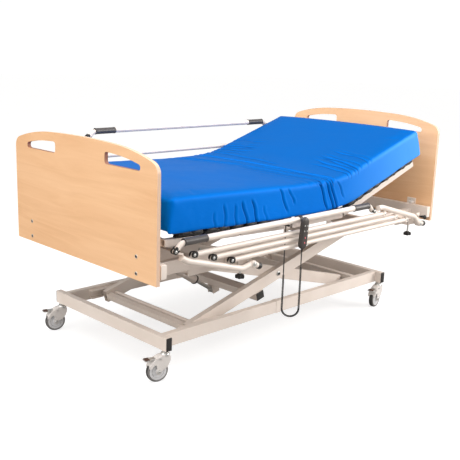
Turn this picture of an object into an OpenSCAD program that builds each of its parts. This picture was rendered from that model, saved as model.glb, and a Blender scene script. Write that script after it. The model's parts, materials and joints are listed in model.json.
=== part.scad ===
// Adjustable hospital bed: a castored base, a scissor lift, a four-section sleeping
// surface, two wooden end boards and two folding side rails.
// X runs along the bed (foot -X, head +X), Y across it, Z up from the floor.
// The origin is on the floor, under the middle of the bed. All sizes in millimetres.

/* [Overall] */
// Length over the two end boards
bed_len = 2080; // [2060:5:2120]
// Width of the end boards
board_w = 1080; // [1060:5:1120]
// Thickness of the end boards
board_t = 18; // [16:1:22]

/* [Base] */
// Left (foot) end of the base frame
base_foot_x = -895; // [-905:5:-885]
// Length of the base frame
base_len = 1643; // [1630:1:1660]
// Width of the base frame, over the cross-beams
base_w = 870; // [860:5:900]
// Height of the top of the base frame above the floor
base_top = 201; // [200:1:204]
// Height of a frame tube
beam_h = 60; // [58:1:62]
// Width of a frame tube
beam_w = 30; // [28:1:32]
// Wall thickness of a frame tube
beam_wall = 2; // [1.5:0.5:3]

/* [Castors] */
// Diameter of a castor wheel
wheel_d = 100; // [96:1:101]
// Width of a castor wheel
wheel_w = 30; // [26:1:32]
// Distance from the swivel axis back to the axle
castor_trail = 38; // [34:1:40]

/* [Scissor lift] */
// Angle of the lifting arms above level
arm_angle = 15; // [14.5:0.25:15.5]
// Distance from an arm's middle pivot to either end pivot
arm_half = 575; // [570:1:580]
// Height of the arms' lower end pivots above the floor
arm_low_z = 171; // [170:1:172]

/* [Upper frame] */
// Height of the underside of the side beams
side_z = 487; // [486:1:488]
// Distance from the middle to the outer face of a side beam
side_y = 430; // [429:1:431]

/* [Sleeping surface] */
// Place of the backrest hinge along the bed
back_hinge_x = 230; // [225:1:235]
// Place of the thigh hinge along the bed
thigh_hinge_x = -144; // [-148:1:-140]
// Height of the hinges above the floor
hinge_z = 615; // [612:1:618]
// Length of the backrest section
back_len = 725; // [700:5:730]
// Length of the thigh section, hinge to knee hinge
thigh_len = 350; // [345:1:355]
// Length of the calf section
calf_len = 472; // [460:2:474]
// Angle of the backrest above level
back_angle = 18.5; // [16:0.5:20]
// Angle of the leg sections above level
leg_angle = 2.2; // [2:0.1:2.4]

/* [Mattress] */
// Width of the mattress
mattress_w = 1040; // [1000:5:1040]
// Thickness of the mattress
mattress_t = 145; // [120:5:150]

/* [Side rails] */
// Distance from the middle of the bed to the middle of a rail
rail_y = 545; // [543:1:547]
// Distance from a rail post's lower pivot to its top pivot
post_len = 480; // [470:1:485]
// Place of the foot post's lower pivot along the bed
post_foot_x = -490; // [-495:1:-485]
// Distance between the two posts of a rail
post_gap = 1378; // [1370:1:1380]
// Height of the posts' lower pivots
post_z = 495; // [494:1:496]
// Angle of a folded post above level, leaning to the foot end
fold_angle = 15.7; // [15:0.1:16.5]
// Angle of a raised post above level, leaning to the foot end
raised_angle = 73.5; // [72:0.5:80]

/* [Handset] */
// Place of the handset along the bed
handset_x = -176; // [-200:2:-150]
// Lean of the handset's lower end towards the foot
handset_lean = 5.5; // [0:0.5:6]

/* [Hidden] */

$fn = 48;
cream = "antiquewhite";
beech = "burlywood";
dark = "dimgray";
black = [0.12, 0.12, 0.12];
play = 0.05;      // radial clearance of a running pin
fit = 0.02;       // clearance of a bolt in its hole
gap = 1;          // clearance of a roller in its guide
bead = 0.6;       // how far the ball at a tube's bend stands proud
end_x = bed_len / 2;
inner_x = end_x - board_t;

// ---------- small shapes ----------

// A hollow rectangular tube along X, from x0 to x1, about its centre line at y, z.
module tube_x(x0, x1, y, z, w = beam_w, h = beam_h, wall = beam_wall) {
    translate([x0, y - w / 2, z - h / 2]) difference() {
        cube([x1 - x0, w, h]);
        translate([-1, wall, wall]) cube([x1 - x0 + 2, w - 2 * wall, h - 2 * wall]);
    }
}

// A hollow rectangular tube along Y, from y0 to y1, about its centre line at x, z.
module tube_y(y0, y1, x, z, w = beam_w, h = beam_h, wall = beam_wall) {
    translate([x - w / 2, y0, z - h / 2]) difference() {
        cube([w, y1 - y0, h]);
        translate([wall, -1, wall]) cube([w - 2 * wall, y1 - y0 + 2, h - 2 * wall]);
    }
}

// A round bar along Y through x, z.
module rod_y(y0, y1, x, z, r) {
    translate([x, min(y0, y1), z]) rotate([-90, 0, 0]) cylinder(r = r, h = abs(y1 - y0));
}

// A round bar along X through y, z.
module rod_x(x0, x1, y, z, r) {
    translate([x0, y, z]) rotate([0, 90, 0]) cylinder(r = r, h = x1 - x0);
}

// A round bar through a list of points of the XZ plane, with a ball at each bend.
module bent_bar(points, r) {
    for (i = [0:len(points) - 2]) let (a = points[i], run = points[i + 1] - a)
        translate([a[0], 0, a[1]]) rotate([0, atan2(run[0], run[1]), 0]) cylinder(r = r, h = norm(run));
    for (i = [1:len(points) - 2]) translate([points[i][0], 0, points[i][1]]) sphere(r = r + bead);
}

// Both sides of the bed, the near one (-Y) as drawn.
module both_sides() {
    children();
    mirror([0, 1, 0]) children();
}

// ---------- base ----------

base_head_x = base_foot_x + base_len;
base_mid_z = base_top - beam_h / 2;
beam_inset = 40;
beam_y = base_w / 2 - beam_inset - beam_w / 2;
cap_t = 3;
arm_w = 30;
outer_arm_y = 317;
inner_arm_y = 283;
pin_r = 8;
roller_r = 16;
roller_w = 18;
guide_t = 4;
low_pivot_x = arm_half * cos(arm_angle) - 65;
low_roller_x = low_pivot_x - 2 * arm_half * cos(arm_angle);
mid_x = low_pivot_x - arm_half * cos(arm_angle);
mid_z = arm_low_z + arm_half * sin(arm_angle);
arm_high_z = arm_low_z + 2 * arm_half * sin(arm_angle);
guide_len = 240;
guide_mid_x = low_roller_x - 5;
ear_t = 8;
stay_x = low_pivot_x + 54;

// A roller guide open towards the middle of the bed, its web at y = web_y.
module roller_guide(web_y, z, depth) {
    half = roller_r + gap;
    translate([guide_mid_x - guide_len / 2, -web_y, z]) {
        for (side = [-half - guide_t, half]) translate([0, 0, side]) cube([guide_len, depth, guide_t]);
        translate([0, 0, -half - guide_t]) cube([guide_len, guide_t, 2 * (half + guide_t)]);
    }
}

module base_frame() {
    splice_x = -140;
    color(cream) both_sides() {
        tube_x(base_foot_x + beam_w, base_head_x - beam_w, -beam_y, base_mid_z);
        tube_x(splice_x, splice_x + 30, -beam_y, base_mid_z, beam_w + 3, beam_h + 3, 1.5);
        roller_guide(beam_y - beam_w / 2, arm_low_z, 30);
        // Ears and pins for the arms' lower head ends
        translate([stay_x - beam_w / 2 - 62, -264, arm_low_z - 21]) cube([62, ear_t, 42]);
        rod_y(-inner_arm_y - arm_w / 2 - 2, -258, low_pivot_x, arm_low_z, pin_r);
        // Castor sockets under the cross-beams
        for (x = [base_foot_x + beam_w / 2, base_head_x - beam_w / 2])
            translate([x, -castor_y, base_top - beam_h - 3]) cylinder(r = 14, h = 3);
    }
    color(cream) {
        for (x = [base_foot_x, base_head_x - beam_w])
            tube_y(-base_w / 2, base_w / 2, x + beam_w / 2, base_mid_z);
        tube_y(-beam_y + beam_w / 2, beam_y - beam_w / 2, stay_x, base_mid_z);
    }
}

module base_end_caps() {
    color(black) both_sides()
        for (x = [base_foot_x, base_head_x - beam_w])
            translate([x, -base_w / 2 - cap_t, base_top - beam_h]) {
                cube([beam_w, cap_t, beam_h]);
                translate([beam_wall, cap_t, beam_wall])
                    cube([beam_w - 2 * beam_wall, 12, beam_h - 2 * beam_wall]);
            }
}

// ---------- castors ----------

castor_y = 410;
fork_top = base_top - beam_h - 3;
axle_z = wheel_d / 2;
fork_t = 3;
axle_r = 5;
pedal_x = -30;
pedal_z = 110;
pedal_r = 4;
pedal_hub_r = 7;

// Swivel axis and heading of each castor: foot near, foot far, head near, head far.
castor_places = [
    [base_foot_x + beam_w / 2, -castor_y, -15],
    [base_foot_x + beam_w / 2, castor_y, -15],
    [base_head_x - beam_w / 2, -castor_y, 10],
    [base_head_x - beam_w / 2, castor_y, 0]
];

// Places a castor drawn with its swivel axis at the origin and its wheel towards -X.
module at_castor(i) {
    translate([castor_places[i][0], castor_places[i][1], 0]) rotate([0, 0, castor_places[i][2]]) children();
}

// Side view of a fork cheek: a broad shield from the swivel head down to the axle.
module cheek_outline() {
    difference() {
        hull() {
            translate([-castor_trail, axle_z]) circle(r = 13, $fn = 32);
            translate([9, 108]) circle(r = 10, $fn = 32);
            translate([-30, 112]) circle(r = 6, $fn = 32);
            translate([12, 86]) circle(r = 6, $fn = 32);
        }
        translate([-castor_trail, axle_z]) circle(r = axle_r);
    }
}

module castor_fork(i) {
    cheek_y = wheel_w / 2 + 3;
    color(cream) at_castor(i) {
        for (y = [-cheek_y - fork_t, cheek_y])
            translate([0, y + fork_t, 0]) rotate([90, 0, 0]) linear_extrude(fork_t) cheek_outline();
        // Crown between the cheeks, and the swivel bearing on it
        translate([-22, -cheek_y, 114]) cube([40, 2 * cheek_y, 4]);
        cylinder_stack();
    }
    color("silver") at_castor(i) {
        rod_y(-cheek_y - fork_t - 4, cheek_y + fork_t + 4, -castor_trail, axle_z, axle_r);
        for (y = [-cheek_y - fork_t - 4, cheek_y + fork_t])
            rod_y(y, y + 4, -castor_trail, axle_z, 9);
        rod_y(-cheek_y, cheek_y, pedal_x, pedal_z, pedal_r);
    }
}

module cylinder_stack() {
    translate([0, 0, 118]) cylinder(r1 = 20, r2 = 17, h = 10);
    translate([0, 0, 128]) cylinder(r = 15, h = fork_top - 128 - 0.5);
}

module castor_wheel(i) {
    color(dark) at_castor(i) translate([-castor_trail, wheel_w / 2, axle_z]) rotate([90, 0, 0])
        difference() {
            rotate_extrude($fn = 96) difference() {
                union() {
                    square([wheel_d / 2 - 4, wheel_w]);
                    translate([wheel_d / 2 - 5, 2]) square([3.5, wheel_w - 4]);
                    translate([wheel_d / 2 - wheel_w / 2, wheel_w / 2]) intersection() {
                        circle(r = wheel_w / 2, $fn = 64);
                        translate([0, -wheel_w / 2]) square([wheel_w, wheel_w]);
                    }
                }
                // Dished sides between hub and tyre
                for (y = [-1, wheel_w - 8]) translate([16, y]) square([20, 9]);
            }
            translate([0, 0, -1]) cylinder(r = axle_r + play, h = wheel_w + 2);
        }
}

module castor_pedal(i) {
    color("silver") at_castor(i) difference() {
        union() {
            rod_y(-12, 12, pedal_x, pedal_z, pedal_hub_r);
            translate([pedal_x - 52, -12, pedal_z - 2]) cube([52, 24, 4]);
            translate([pedal_x - 70, -20, pedal_z - 5]) cube([22, 40, 6]);
        }
        rod_y(-13, 13, pedal_x, pedal_z, pedal_r + play);
    }
}

module castor_fork_foot_near() { castor_fork(0); }
module castor_fork_foot_far() { castor_fork(1); }
module castor_fork_head_near() { castor_fork(2); }
module castor_fork_head_far() { castor_fork(3); }
module castor_wheel_foot_near() { castor_wheel(0); }
module castor_wheel_foot_far() { castor_wheel(1); }
module castor_wheel_head_near() { castor_wheel(2); }
module castor_wheel_head_far() { castor_wheel(3); }
module castor_pedal_foot_near() { castor_pedal(0); }
module castor_pedal_foot_far() { castor_pedal(1); }
module castor_pedal_head_near() { castor_pedal(2); }
module castor_pedal_head_far() { castor_pedal(3); }

// ---------- scissor lift ----------

arm_end = 22;
arm_tail = 58;
brace = 30;
bush_r = 14;
shaft_r = 10;
lever_u = -155;
lever_w = 50;
lever_h = 40;
lug_u = -178;
lug_w = -99;

// Draws in an arm's own frame: U along the arm towards the head, W square to it.
module in_arm(slope) {
    translate([mid_x, 0, mid_z]) rotate([0, -slope, 0]) children();
}

// One arm at distance y from the middle, with a bore at each of its pivots and a tail past its roller.
module lift_arm(y, tail, end_r, mid_r) {
    difference() {
        union() {
            tube_x(-arm_half - tail, arm_half + arm_end, -y, 0, arm_w);
            for (u = [-arm_half, 0, arm_half]) rod_y(-y - arm_w / 2, -y + arm_w / 2, u, 0, bush_r);
        }
        rod_y(-y - arm_w / 2 - 1, -y + arm_w / 2 + 1, 0, 0, mid_r);
        rod_y(-y - arm_w / 2 - 1, -y + arm_w / 2 + 1, end_r[0], 0, end_r[1]);
    }
}

module lift_arms_outer() {
    color(cream) in_arm(arm_angle) {
        both_sides() {
            lift_arm(outer_arm_y, arm_tail, [arm_half, pin_r + play], pin_r);
            // Lugs under the lever tube for the lift motor's rod
            translate([lug_u - 14, -22, lug_w - 12]) difference() {
                cube([44, 6, 12 - lug_w - beam_h / 2 - lever_h + beam_wall]);
                rod_y(-1, 7, 14, 12, pin_r);
            }
        }
        // Roller shaft, lever tube and stiffening tubes
        rod_y(-359, 359, -arm_half, 0, shaft_r);
        tube_y(-336, 336, lever_u, -beam_h / 2 - lever_h / 2, lever_w, lever_h);
        for (u = [brace / 2 - arm_half - arm_tail, 470])
            tube_y(-outer_arm_y + arm_w / 2, outer_arm_y - arm_w / 2, u, 0, brace, brace);
    }
    color(black) in_arm(arm_angle) both_sides()
        translate([lever_u - lever_w / 2, -340, -beam_h / 2 - lever_h]) cube([lever_w, 4, lever_h]);
    color("silver") in_arm(arm_angle) rod_y(-24, 24, lug_u, lug_w, pin_r);
}

module lift_arms_inner() {
    color(cream) in_arm(-arm_angle) {
        both_sides() {
            lift_arm(inner_arm_y, arm_end, [arm_half, pin_r + play], pin_r + play);
            rod_y(-387, -262, -arm_half, 0, shaft_r);
        }
        tube_y(-inner_arm_y + arm_w / 2, inner_arm_y - arm_w / 2, 400, 0, 30, 40);
    }
}

module lift_pivot_bolts() {
    color("silver") both_sides() {
        rod_y(-outer_arm_y - arm_w / 2 - 6, -inner_arm_y + arm_w / 2 + 6, mid_x, mid_z, pin_r - fit);
        rod_y(-outer_arm_y - arm_w / 2 - 6, -outer_arm_y - arm_w / 2 - fit, mid_x, mid_z, 13);
        rod_y(-inner_arm_y + arm_w / 2 + 1, -inner_arm_y + arm_w / 2 + 7, mid_x, mid_z, 13);
    }
}

// A pair of rollers on the shaft through x, z, running at distance y from the middle.
module roller_pair(x, y, z) {
    color(black) both_sides() difference() {
        rod_y(-y - roller_w / 2, -y + roller_w / 2, x, z, roller_r);
        rod_y(-y - roller_w, -y + roller_w, x, z, shaft_r + play);
    }
}

module lower_rollers() {
    roller_pair(low_roller_x, 347, arm_low_z);
}

module upper_rollers() {
    roller_pair(low_roller_x, 374, arm_high_z);
}

// ---------- upper frame ----------

side_mid_z = side_z + beam_h / 2;
side_mid_y = side_y - beam_w / 2;
end_beam_z = 544;
end_beam_half = 535;
plate_t = 7;
plate_y = 408;
bolt_z = [517, 590];
bolt_r = 4;
rail_tube_y = 470;
rail_tube = 30;
hinge_tube_r = 13;
hinge_pin_r = 7;
pin_inner_y = 436;
socket_x = inner_x - plate_t - beam_w / 2;
socket_y = 419;
socket_r = 10;
socket_wall = 3;
socket_top = 588;
socket_depth = 68;
motor_pivot = [-690, 478];

// Cross tube and pins of a hinge at x, z, carried between two side tubes.
module hinge_axle(x, z) {
    rod_y(-pin_inner_y, pin_inner_y, x, z, hinge_tube_r);
    for (s = [-1, 1]) rod_y(s * pin_inner_y, s * (rail_tube_y - rail_tube / 2), x, z, hinge_pin_r);
}

module upper_frame() {
    color(cream) {
        both_sides() {
            tube_x(-inner_x + plate_t + beam_w, inner_x - plate_t - beam_w, -side_mid_y, side_mid_z);
            // Plates that the boards bolt to
            for (x = [-inner_x, inner_x - plate_t])
                translate([x, -plate_y - 28, 500]) difference() {
                    cube([plate_t, 56, 108]);
                    for (z = bolt_z) rod_x(-1, plate_t + 1, 28, z - 500, bolt_r);
                }
            roller_guide(side_y - beam_w, arm_high_z, 34);
            translate([guide_mid_x - guide_len / 2, -side_y + beam_w, arm_high_z])
                cube([guide_len, guide_t, 50]);
            // Ears and pins for the arms' upper head ends
            translate([low_pivot_x - 20, -344, arm_high_z - 20]) cube([60, ear_t, 70]);
            rod_y(-340, -300, low_pivot_x, arm_high_z, pin_r);
            // Seat frame on its uprights
            tube_x(thigh_hinge_x - 12, back_hinge_x + 12, -rail_tube_y, hinge_z, rail_tube, rail_tube);
            for (x = [thigh_hinge_x + 4, back_hinge_x - 34])
                translate([x, -side_y + 5, side_z + beam_h - 2]) cube([30, 6, hinge_z - side_z - beam_h]);
            for (x = [thigh_hinge_x + 27, back_hinge_x - 27])
                rod_y(-rail_tube_y + rail_tube / 2, 0, x, hinge_z, 10);
        }
        tube_y(-end_beam_half, end_beam_half, -socket_x, end_beam_z);
        // Head cross-beam, with a sleeve for a pole let into each end
        difference() {
            union() {
                tube_y(-end_beam_half, end_beam_half, socket_x, end_beam_z);
                both_sides() translate([socket_x, -socket_y, socket_top - socket_depth - socket_wall])
                    cylinder(r = socket_r + socket_wall, h = socket_depth + socket_wall);
            }
            both_sides() translate([socket_x, -socket_y, socket_top - socket_depth])
                cylinder(r = socket_r, h = socket_depth + 1);
        }
        for (x = [motor_pivot[0] - 62, low_pivot_x + 54])
            tube_y(-side_y + beam_w, side_y - beam_w, x, side_mid_z);
        hinge_axle(back_hinge_x, hinge_z);
        hinge_axle(thigh_hinge_x, hinge_z);
        // Cheeks that the lift motor's rear end hangs between
        for (y = [-38, 32]) translate([motor_pivot[0] - 52, y, motor_pivot[1] - 22]) cube([74, 6, 60]);
    }
    color(black) both_sides()
        for (x = [-inner_x + plate_t, inner_x - plate_t - beam_w])
            translate([x, -end_beam_half - cap_t, end_beam_z - beam_h / 2]) cube([beam_w, cap_t, beam_h]);
}

// ---------- end boards ----------

board_low = 490;
arch_r = 5000;
shoulder_r = 1000;
shoulder_from = 260;
corner_r = 50;
slot_in = 190;
slot_out = 450;
slot_low = 945;
rim = 41;
head_rise = 52;
board_peak = 1042;

// Outline of a board: Y across, Z up, with an arched top and rounded shoulders.
module board_outline(rise) {
    peak = board_peak + rise;
    difference() {
        union() {
            offset(r = corner_r, $fn = 96) offset(delta = -corner_r)
                board_blank(peak, board_low);
            translate([-board_w / 2, board_low]) square([board_w, 300]);
        }
        // Hand holds that follow the arch
        for (s = [-1, 1]) offset(r = 14, $fn = 32) offset(delta = -14) intersection() {
            board_blank(peak - rim, slot_low + rise);
            translate([s > 0 ? slot_in : -slot_out, 0]) square([slot_out - slot_in, 2000]);
        }
    }
}

// The region under the arch and above the height low.
module board_blank(peak, low) {
    turn = asin(shoulder_from / arch_r);
    intersection() {
        translate([-shoulder_from, low]) square([2 * shoulder_from, peak - low]);
        translate([0, peak - arch_r]) circle(r = arch_r, $fn = 720);
    }
    for (s = [0, 1]) mirror([s, 0]) intersection() {
        translate([shoulder_from - 1, low]) square([board_w / 2 - shoulder_from + 1, peak - low]);
        translate([(arch_r - shoulder_r) * sin(turn), peak - arch_r + (arch_r - shoulder_r) * cos(turn)])
            circle(r = shoulder_r, $fn = 360);
    }
}

module board(x, rise) {
    color(beech) translate([x, 0, 0]) difference() {
        rotate([90, 0, 90]) linear_extrude(board_t) board_outline(rise);
        both_sides() for (z = bolt_z) rod_x(-1, board_t + 1, -plate_y, z, bolt_r);
    }
}

module footboard() { board(-end_x, 0); }
module headboard() { board(inner_x, head_rise); }

// Bolts through each board, screwed into its plates.
module board_fixings() {
    head = 3;
    color("silver") both_sides() for (z = bolt_z) {
        rod_x(-end_x - head, -inner_x + plate_t, -plate_y, z, bolt_r - fit);
        rod_x(-end_x - head, -end_x, -plate_y, z, 9);
        rod_x(inner_x - plate_t, end_x + head, -plate_y, z, bolt_r - fit);
        rod_x(end_x, end_x + head, -plate_y, z, 9);
    }
}

// ---------- sleeping surface ----------

slat_w = 54;
slat_t = 8;
slat_half = 480;
slat_crown = 6;
slat_z = 45;
slat_pitch = 66;
pair_half = 75;
single_half = 33;
holder_low = 24;
holder_high = 49;
holder_y0 = 452;
holder_y1 = 506;
mattress_gap = 53;
cross_r = 11;
lug_y0 = 441;
lug_y1 = 449;
section_start = 24;

// A bowed slat across the bed at x, above a section's hinge plane.
module slat(x) {
    steps = 12;
    top = [for (i = [0:steps]) let (y = slat_half * (2 * i / steps - 1))
        [y, slat_z + slat_crown * (1 - pow(y / slat_half, 2))]];
    under = [for (i = [steps:-1:0]) [top[i][0], top[i][1] - slat_t]];
    translate([x - slat_w / 2, 0, 0]) rotate([90, 0, 90]) linear_extrude(slat_w)
        polygon(concat(top, under));
}

// A rubber holder on a side tube, from x - half to x + half, with a pocket for each of its slats.
module slat_holder(x, half, slats) {
    foot_inset = 8;
    foot_w = 24;
    difference() {
        union() {
            translate([x - half, -holder_y1, holder_low])
                cube([2 * half, holder_y1 - holder_y0, holder_high - holder_low]);
            translate([x - half + foot_inset, -rail_tube_y - foot_w / 2, rail_tube / 2])
                cube([2 * (half - foot_inset), foot_w, holder_low - rail_tube / 2 + 1]);
        }
        for (at = slats) translate([at - slat_w / 2 - 1, -slat_half - 2, slat_z - slat_t - 0.1])
            cube([slat_w + 2, slat_half, holder_high]);
    }
}

// Slats two by two about each place in pairs, and one by one at each place in singles.
module slat_set(pairs, singles) {
    for (x = pairs) let (both = [x - slat_pitch / 2, x + slat_pitch / 2]) {
        color("tan") for (at = both) slat(at);
        color(black) both_sides() slat_holder(x, pair_half, both);
    }
    for (x = singles) {
        color("tan") slat(x);
        color(black) both_sides() slat_holder(x, single_half, [x]);
    }
}

// A section's frame, hinged at the origin and running along +X to length.
module section_frame(length, next_hinge) {
    tube_end = next_hinge ? length + 12 : length;
    both_sides() {
        tube_x(section_start, tube_end, -rail_tube_y, 0, rail_tube, rail_tube);
        // Hinge lug inside the side tube
        translate([0, -lug_y1, 0]) rotate([-90, 0, 0]) difference() {
            union() {
                cylinder(r = 14, h = lug_y1 - lug_y0);
                translate([0, -12, 0]) cube([60, 24, lug_y1 - lug_y0]);
            }
            translate([0, 0, -1]) cylinder(r = hinge_pin_r + play, h = 20);
        }
        translate([32, -rail_tube_y + rail_tube / 2, -12]) cube([28, 6, 24]);
    }
    rod_y(-rail_tube_y + rail_tube / 2, rail_tube_y - rail_tube / 2, 46, 0, cross_r);
    if (next_hinge) hinge_axle(length, 0);
    else rod_y(-rail_tube_y + rail_tube / 2, rail_tube_y - rail_tube / 2, length - 30, 0, cross_r);
}

// Lever that the section drive pushes to raise a section.
module drive_lever() {
    rotate([90, 0, 0]) translate([0, 0, -4]) linear_extrude(8)
        polygon([[32, 4], [56, 4], [56, -14], [22, -112], [2, -112], [24, -26]]);
}

module at_back() {
    translate([back_hinge_x, 0, hinge_z]) rotate([0, -back_angle, 0]) children();
}

// Leg sections run towards the foot: a section drawn along +X is turned round.
module at_thigh() {
    translate([thigh_hinge_x, 0, hinge_z]) rotate([0, leg_angle, 0]) mirror([1, 0, 0]) children();
}

module at_calf() {
    at_thigh() translate([thigh_len, 0, 0]) children();
}

module back_frame() {
    color(cream) at_back() {
        section_frame(back_len - 45, false);
        drive_lever();
    }
}

module thigh_frame() {
    color(cream) at_thigh() {
        section_frame(thigh_len, true);
        drive_lever();
    }
}

module calf_frame() { color(cream) at_calf() section_frame(calf_len - 12, false); }

module back_slats() { at_back() slat_set([115, 271, 427, 583], []); }
module thigh_slats() { at_thigh() slat_set([195], [70, 312]); }
module calf_slats() { at_calf() slat_set([172, 329], [50]); }
module seat_slats() { translate([thigh_hinge_x, 0, hinge_z]) slat_set([103, 259], []); }

// ---------- mattress ----------

max_back = 70;
max_bend = 32;

// A mattress section along +X from its hinge plane; its ends lean in by the angles a0 and a1.
module mattress_block(x0, x1, a0, a1) {
    low = mattress_gap;
    high = mattress_gap + mattress_t;
    color("dodgerblue") rotate([90, 0, 0]) translate([0, 0, -mattress_w / 2]) linear_extrude(mattress_w)
        polygon([
            [x0 + low * tan(a0), low],
            [x1 - low * tan(a1), low],
            [x1 - high * tan(a1), high],
            [x0 + high * tan(a0), high]
        ]);
}

module mattress_back() { at_back() mattress_block(1, back_len, max_back / 2, 0); }
module mattress_seat() {
    translate([thigh_hinge_x, 0, hinge_z])
        mattress_block(1, back_hinge_x - thigh_hinge_x - 1, max_bend / 2, max_back / 2);
}
module mattress_thigh() { at_thigh() mattress_block(1, thigh_len - 1, max_bend / 2, 2); }
module mattress_calf() { at_calf() mattress_block(1, calf_len, 2, 0); }

// ---------- drives ----------

rod_eye = [mid_x + lug_u * cos(arm_angle) - lug_w * sin(arm_angle),
    mid_z + lug_u * sin(arm_angle) + lug_w * cos(arm_angle)];
drive_run = motor_pivot - rod_eye;
drive_len = norm(drive_run);
drive_tilt = atan2(drive_run[0], drive_run[1]);
rod_r = 10;
tube_r = 23;
tube_start = 148;
rod_len = 330;
bore_depth = 290;

// Draws along the lift motor's line: +Z runs from the rod's eye to the motor's rear pivot.
module along_drive() {
    translate([rod_eye[0], 0, rod_eye[1]]) rotate([0, drive_tilt, 0]) children();
}

module lift_motor_rod() {
    color("silver") along_drive() {
        difference() {
            union() {
                rotate([90, 0, 0]) translate([0, 0, -13]) cylinder(r = 15, h = 26);
                cylinder(r = rod_r, h = rod_len);
            }
            rotate([90, 0, 0]) translate([0, 0, -14]) cylinder(r = pin_r + play, h = 28);
        }
    }
}

module lift_motor() {
    color(cream) along_drive() translate([0, 0, tube_start]) {
        difference() {
            union() {
                cylinder(r = tube_r, h = drive_len - tube_start - 90);
                cylinder(r = tube_r + 2, h = 14);
                translate([-28, -28, drive_len - tube_start - 110]) cube([56, 56, 84]);
                translate([28, -24, drive_len - tube_start - 108]) cube([70, 48, 66]);
            }
            translate([0, 0, -1]) cylinder(r = rod_r + play, h = bore_depth + 1);
        }
        rotate([90, 0, 0]) translate([0, drive_len - tube_start, -14]) cylinder(r = 14, h = 28);
        translate([-14, -14, drive_len - tube_start - 28]) cube([28, 28, 28]);
        rotate([90, 0, 0]) translate([0, drive_len - tube_start, -28]) cylinder(r = 6, h = 56);
    }
}

// One housing under the seat drives both the backrest and the thigh lever.
module section_drive() {
    x0 = thigh_hinge_x - 24;
    x1 = back_hinge_x + 24;
    color(dark) difference() {
        union() {
            translate([x0, -50, 512]) cube([x1 - x0, 100, 82]);
            translate([x0 + 60, 50, 520]) cube([150, 45, 60]);
            // Ears that hang the housing on the two hinge tubes
            for (x = [thigh_hinge_x, back_hinge_x], y = [-40, 32])
                translate([x - 16, y, 590]) cube([32, ear_t, 44]);
        }
        for (x = [thigh_hinge_x, back_hinge_x]) rod_y(-42, 42, x, hinge_z, hinge_tube_r + play);
        for (x = [x0 - 1, x1 - 56]) translate([x, -12, 500]) cube([57, 24, 120]);
    }
}

// ---------- side rails ----------

bar_r = 12;
grip_r = 16;
rail_r = 14;
post_offset = 30;
post_tail = [-34, 4];
post_top = [-40, 20];
tab_len = 50;
tab_eye = 24;
cap_len = 24;
hub_half = 16;
bar_steps = [374, 259, 143];
root_pin_r = 6;
tab_t = 6;
slit = tab_t + 2;
pivot_r = 4;
elbow = [40, 32];
root_y = 518;

// Draws in a post's frame: the lower pivot at the origin, the top pivot along +X,
// and the bends towards +Z. foot is true for the foot post; lean is its angle above level.
module at_post(foot, lean) {
    x = foot ? post_foot_x : post_foot_x + post_gap;
    translate([x, -rail_y, post_z]) rotate([0, 180 + lean, 0])
        mirror([0, 0, foot ? 0 : 1]) children();
}

// A bent tube post with a hub at its foot and four flat tabs for the bars.
module rail_post(foot, lean) {
    color(cream) at_post(foot, lean) {
        difference() {
            union() {
                bent_bar([post_tail, [0, 0]], rail_r);
                bent_bar([[0, 0], [62, post_offset], [post_len - 80, post_offset],
                    [post_len + post_top[0], post_top[1]]], rail_r);
                rod_y(-hub_half, hub_half, 0, 0, rail_r + 2);
                for (u = bar_steps) translate([u - 9, -tab_t / 2, 0]) cube([18, tab_t, post_offset - 6]);
                for (u = bar_steps) rod_y(-tab_t / 2, tab_t / 2, u, 0, 9);
                // Tab for the handrail's joint: a slim neck, then the full width
                translate([post_len - tab_len, -tab_t / 2, 0]) cube([tab_len, tab_t, 9]);
                translate([post_len - tab_eye, -tab_t / 2, -9]) cube([tab_eye, tab_t, 18]);
                rod_y(-tab_t / 2, tab_t / 2, post_len, 0, 9);
            }
            rod_y(-30, 30, 0, 0, root_pin_r + play);
            for (u = concat(bar_steps, [post_len])) rod_y(-30, 30, u, 0, pivot_r + play);
        }
    }
    color(black) at_post(foot, lean) translate([post_tail[0], 0, post_tail[1]])
        rotate([0, atan2(post_tail[0], post_tail[1]), 0]) cylinder(r = rail_r + 1.5, h = cap_len);
}

// Where a post's pivot at distance u from its root stands, for a lean above level.
function pivot_at(u, lean) = [post_foot_x - u * cos(lean), post_z + u * sin(lean)];

// A forked end: two cheeks and a pin across a tab at the origin.
module fork_end(r, length) {
    difference() {
        rod_x(-9, length, 0, 0, r);
        translate([-10, -slit / 2, -r - 1]) cube([33, slit, 2 * r + 2]);
    }
    rod_y(-r - 1, r + 1, 0, 0, pivot_r);
}

// A lower bar between the posts, u up from their roots.
module rail_bar(u, lean) {
    p = pivot_at(u, lean);
    color(cream) translate([p[0], -rail_y, p[1]]) {
        fork_end(bar_r, 40);
        translate([post_gap, 0, 0]) mirror([1, 0, 0]) fork_end(bar_r, 40);
        translate([39, 0, 0]) rotate([0, 90, 0]) difference() {
            cylinder(r = bar_r, h = post_gap - 78);
            translate([0, 0, 4]) cylinder(r = bar_r - 2, h = post_gap - 86);
        }
    }
}

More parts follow.
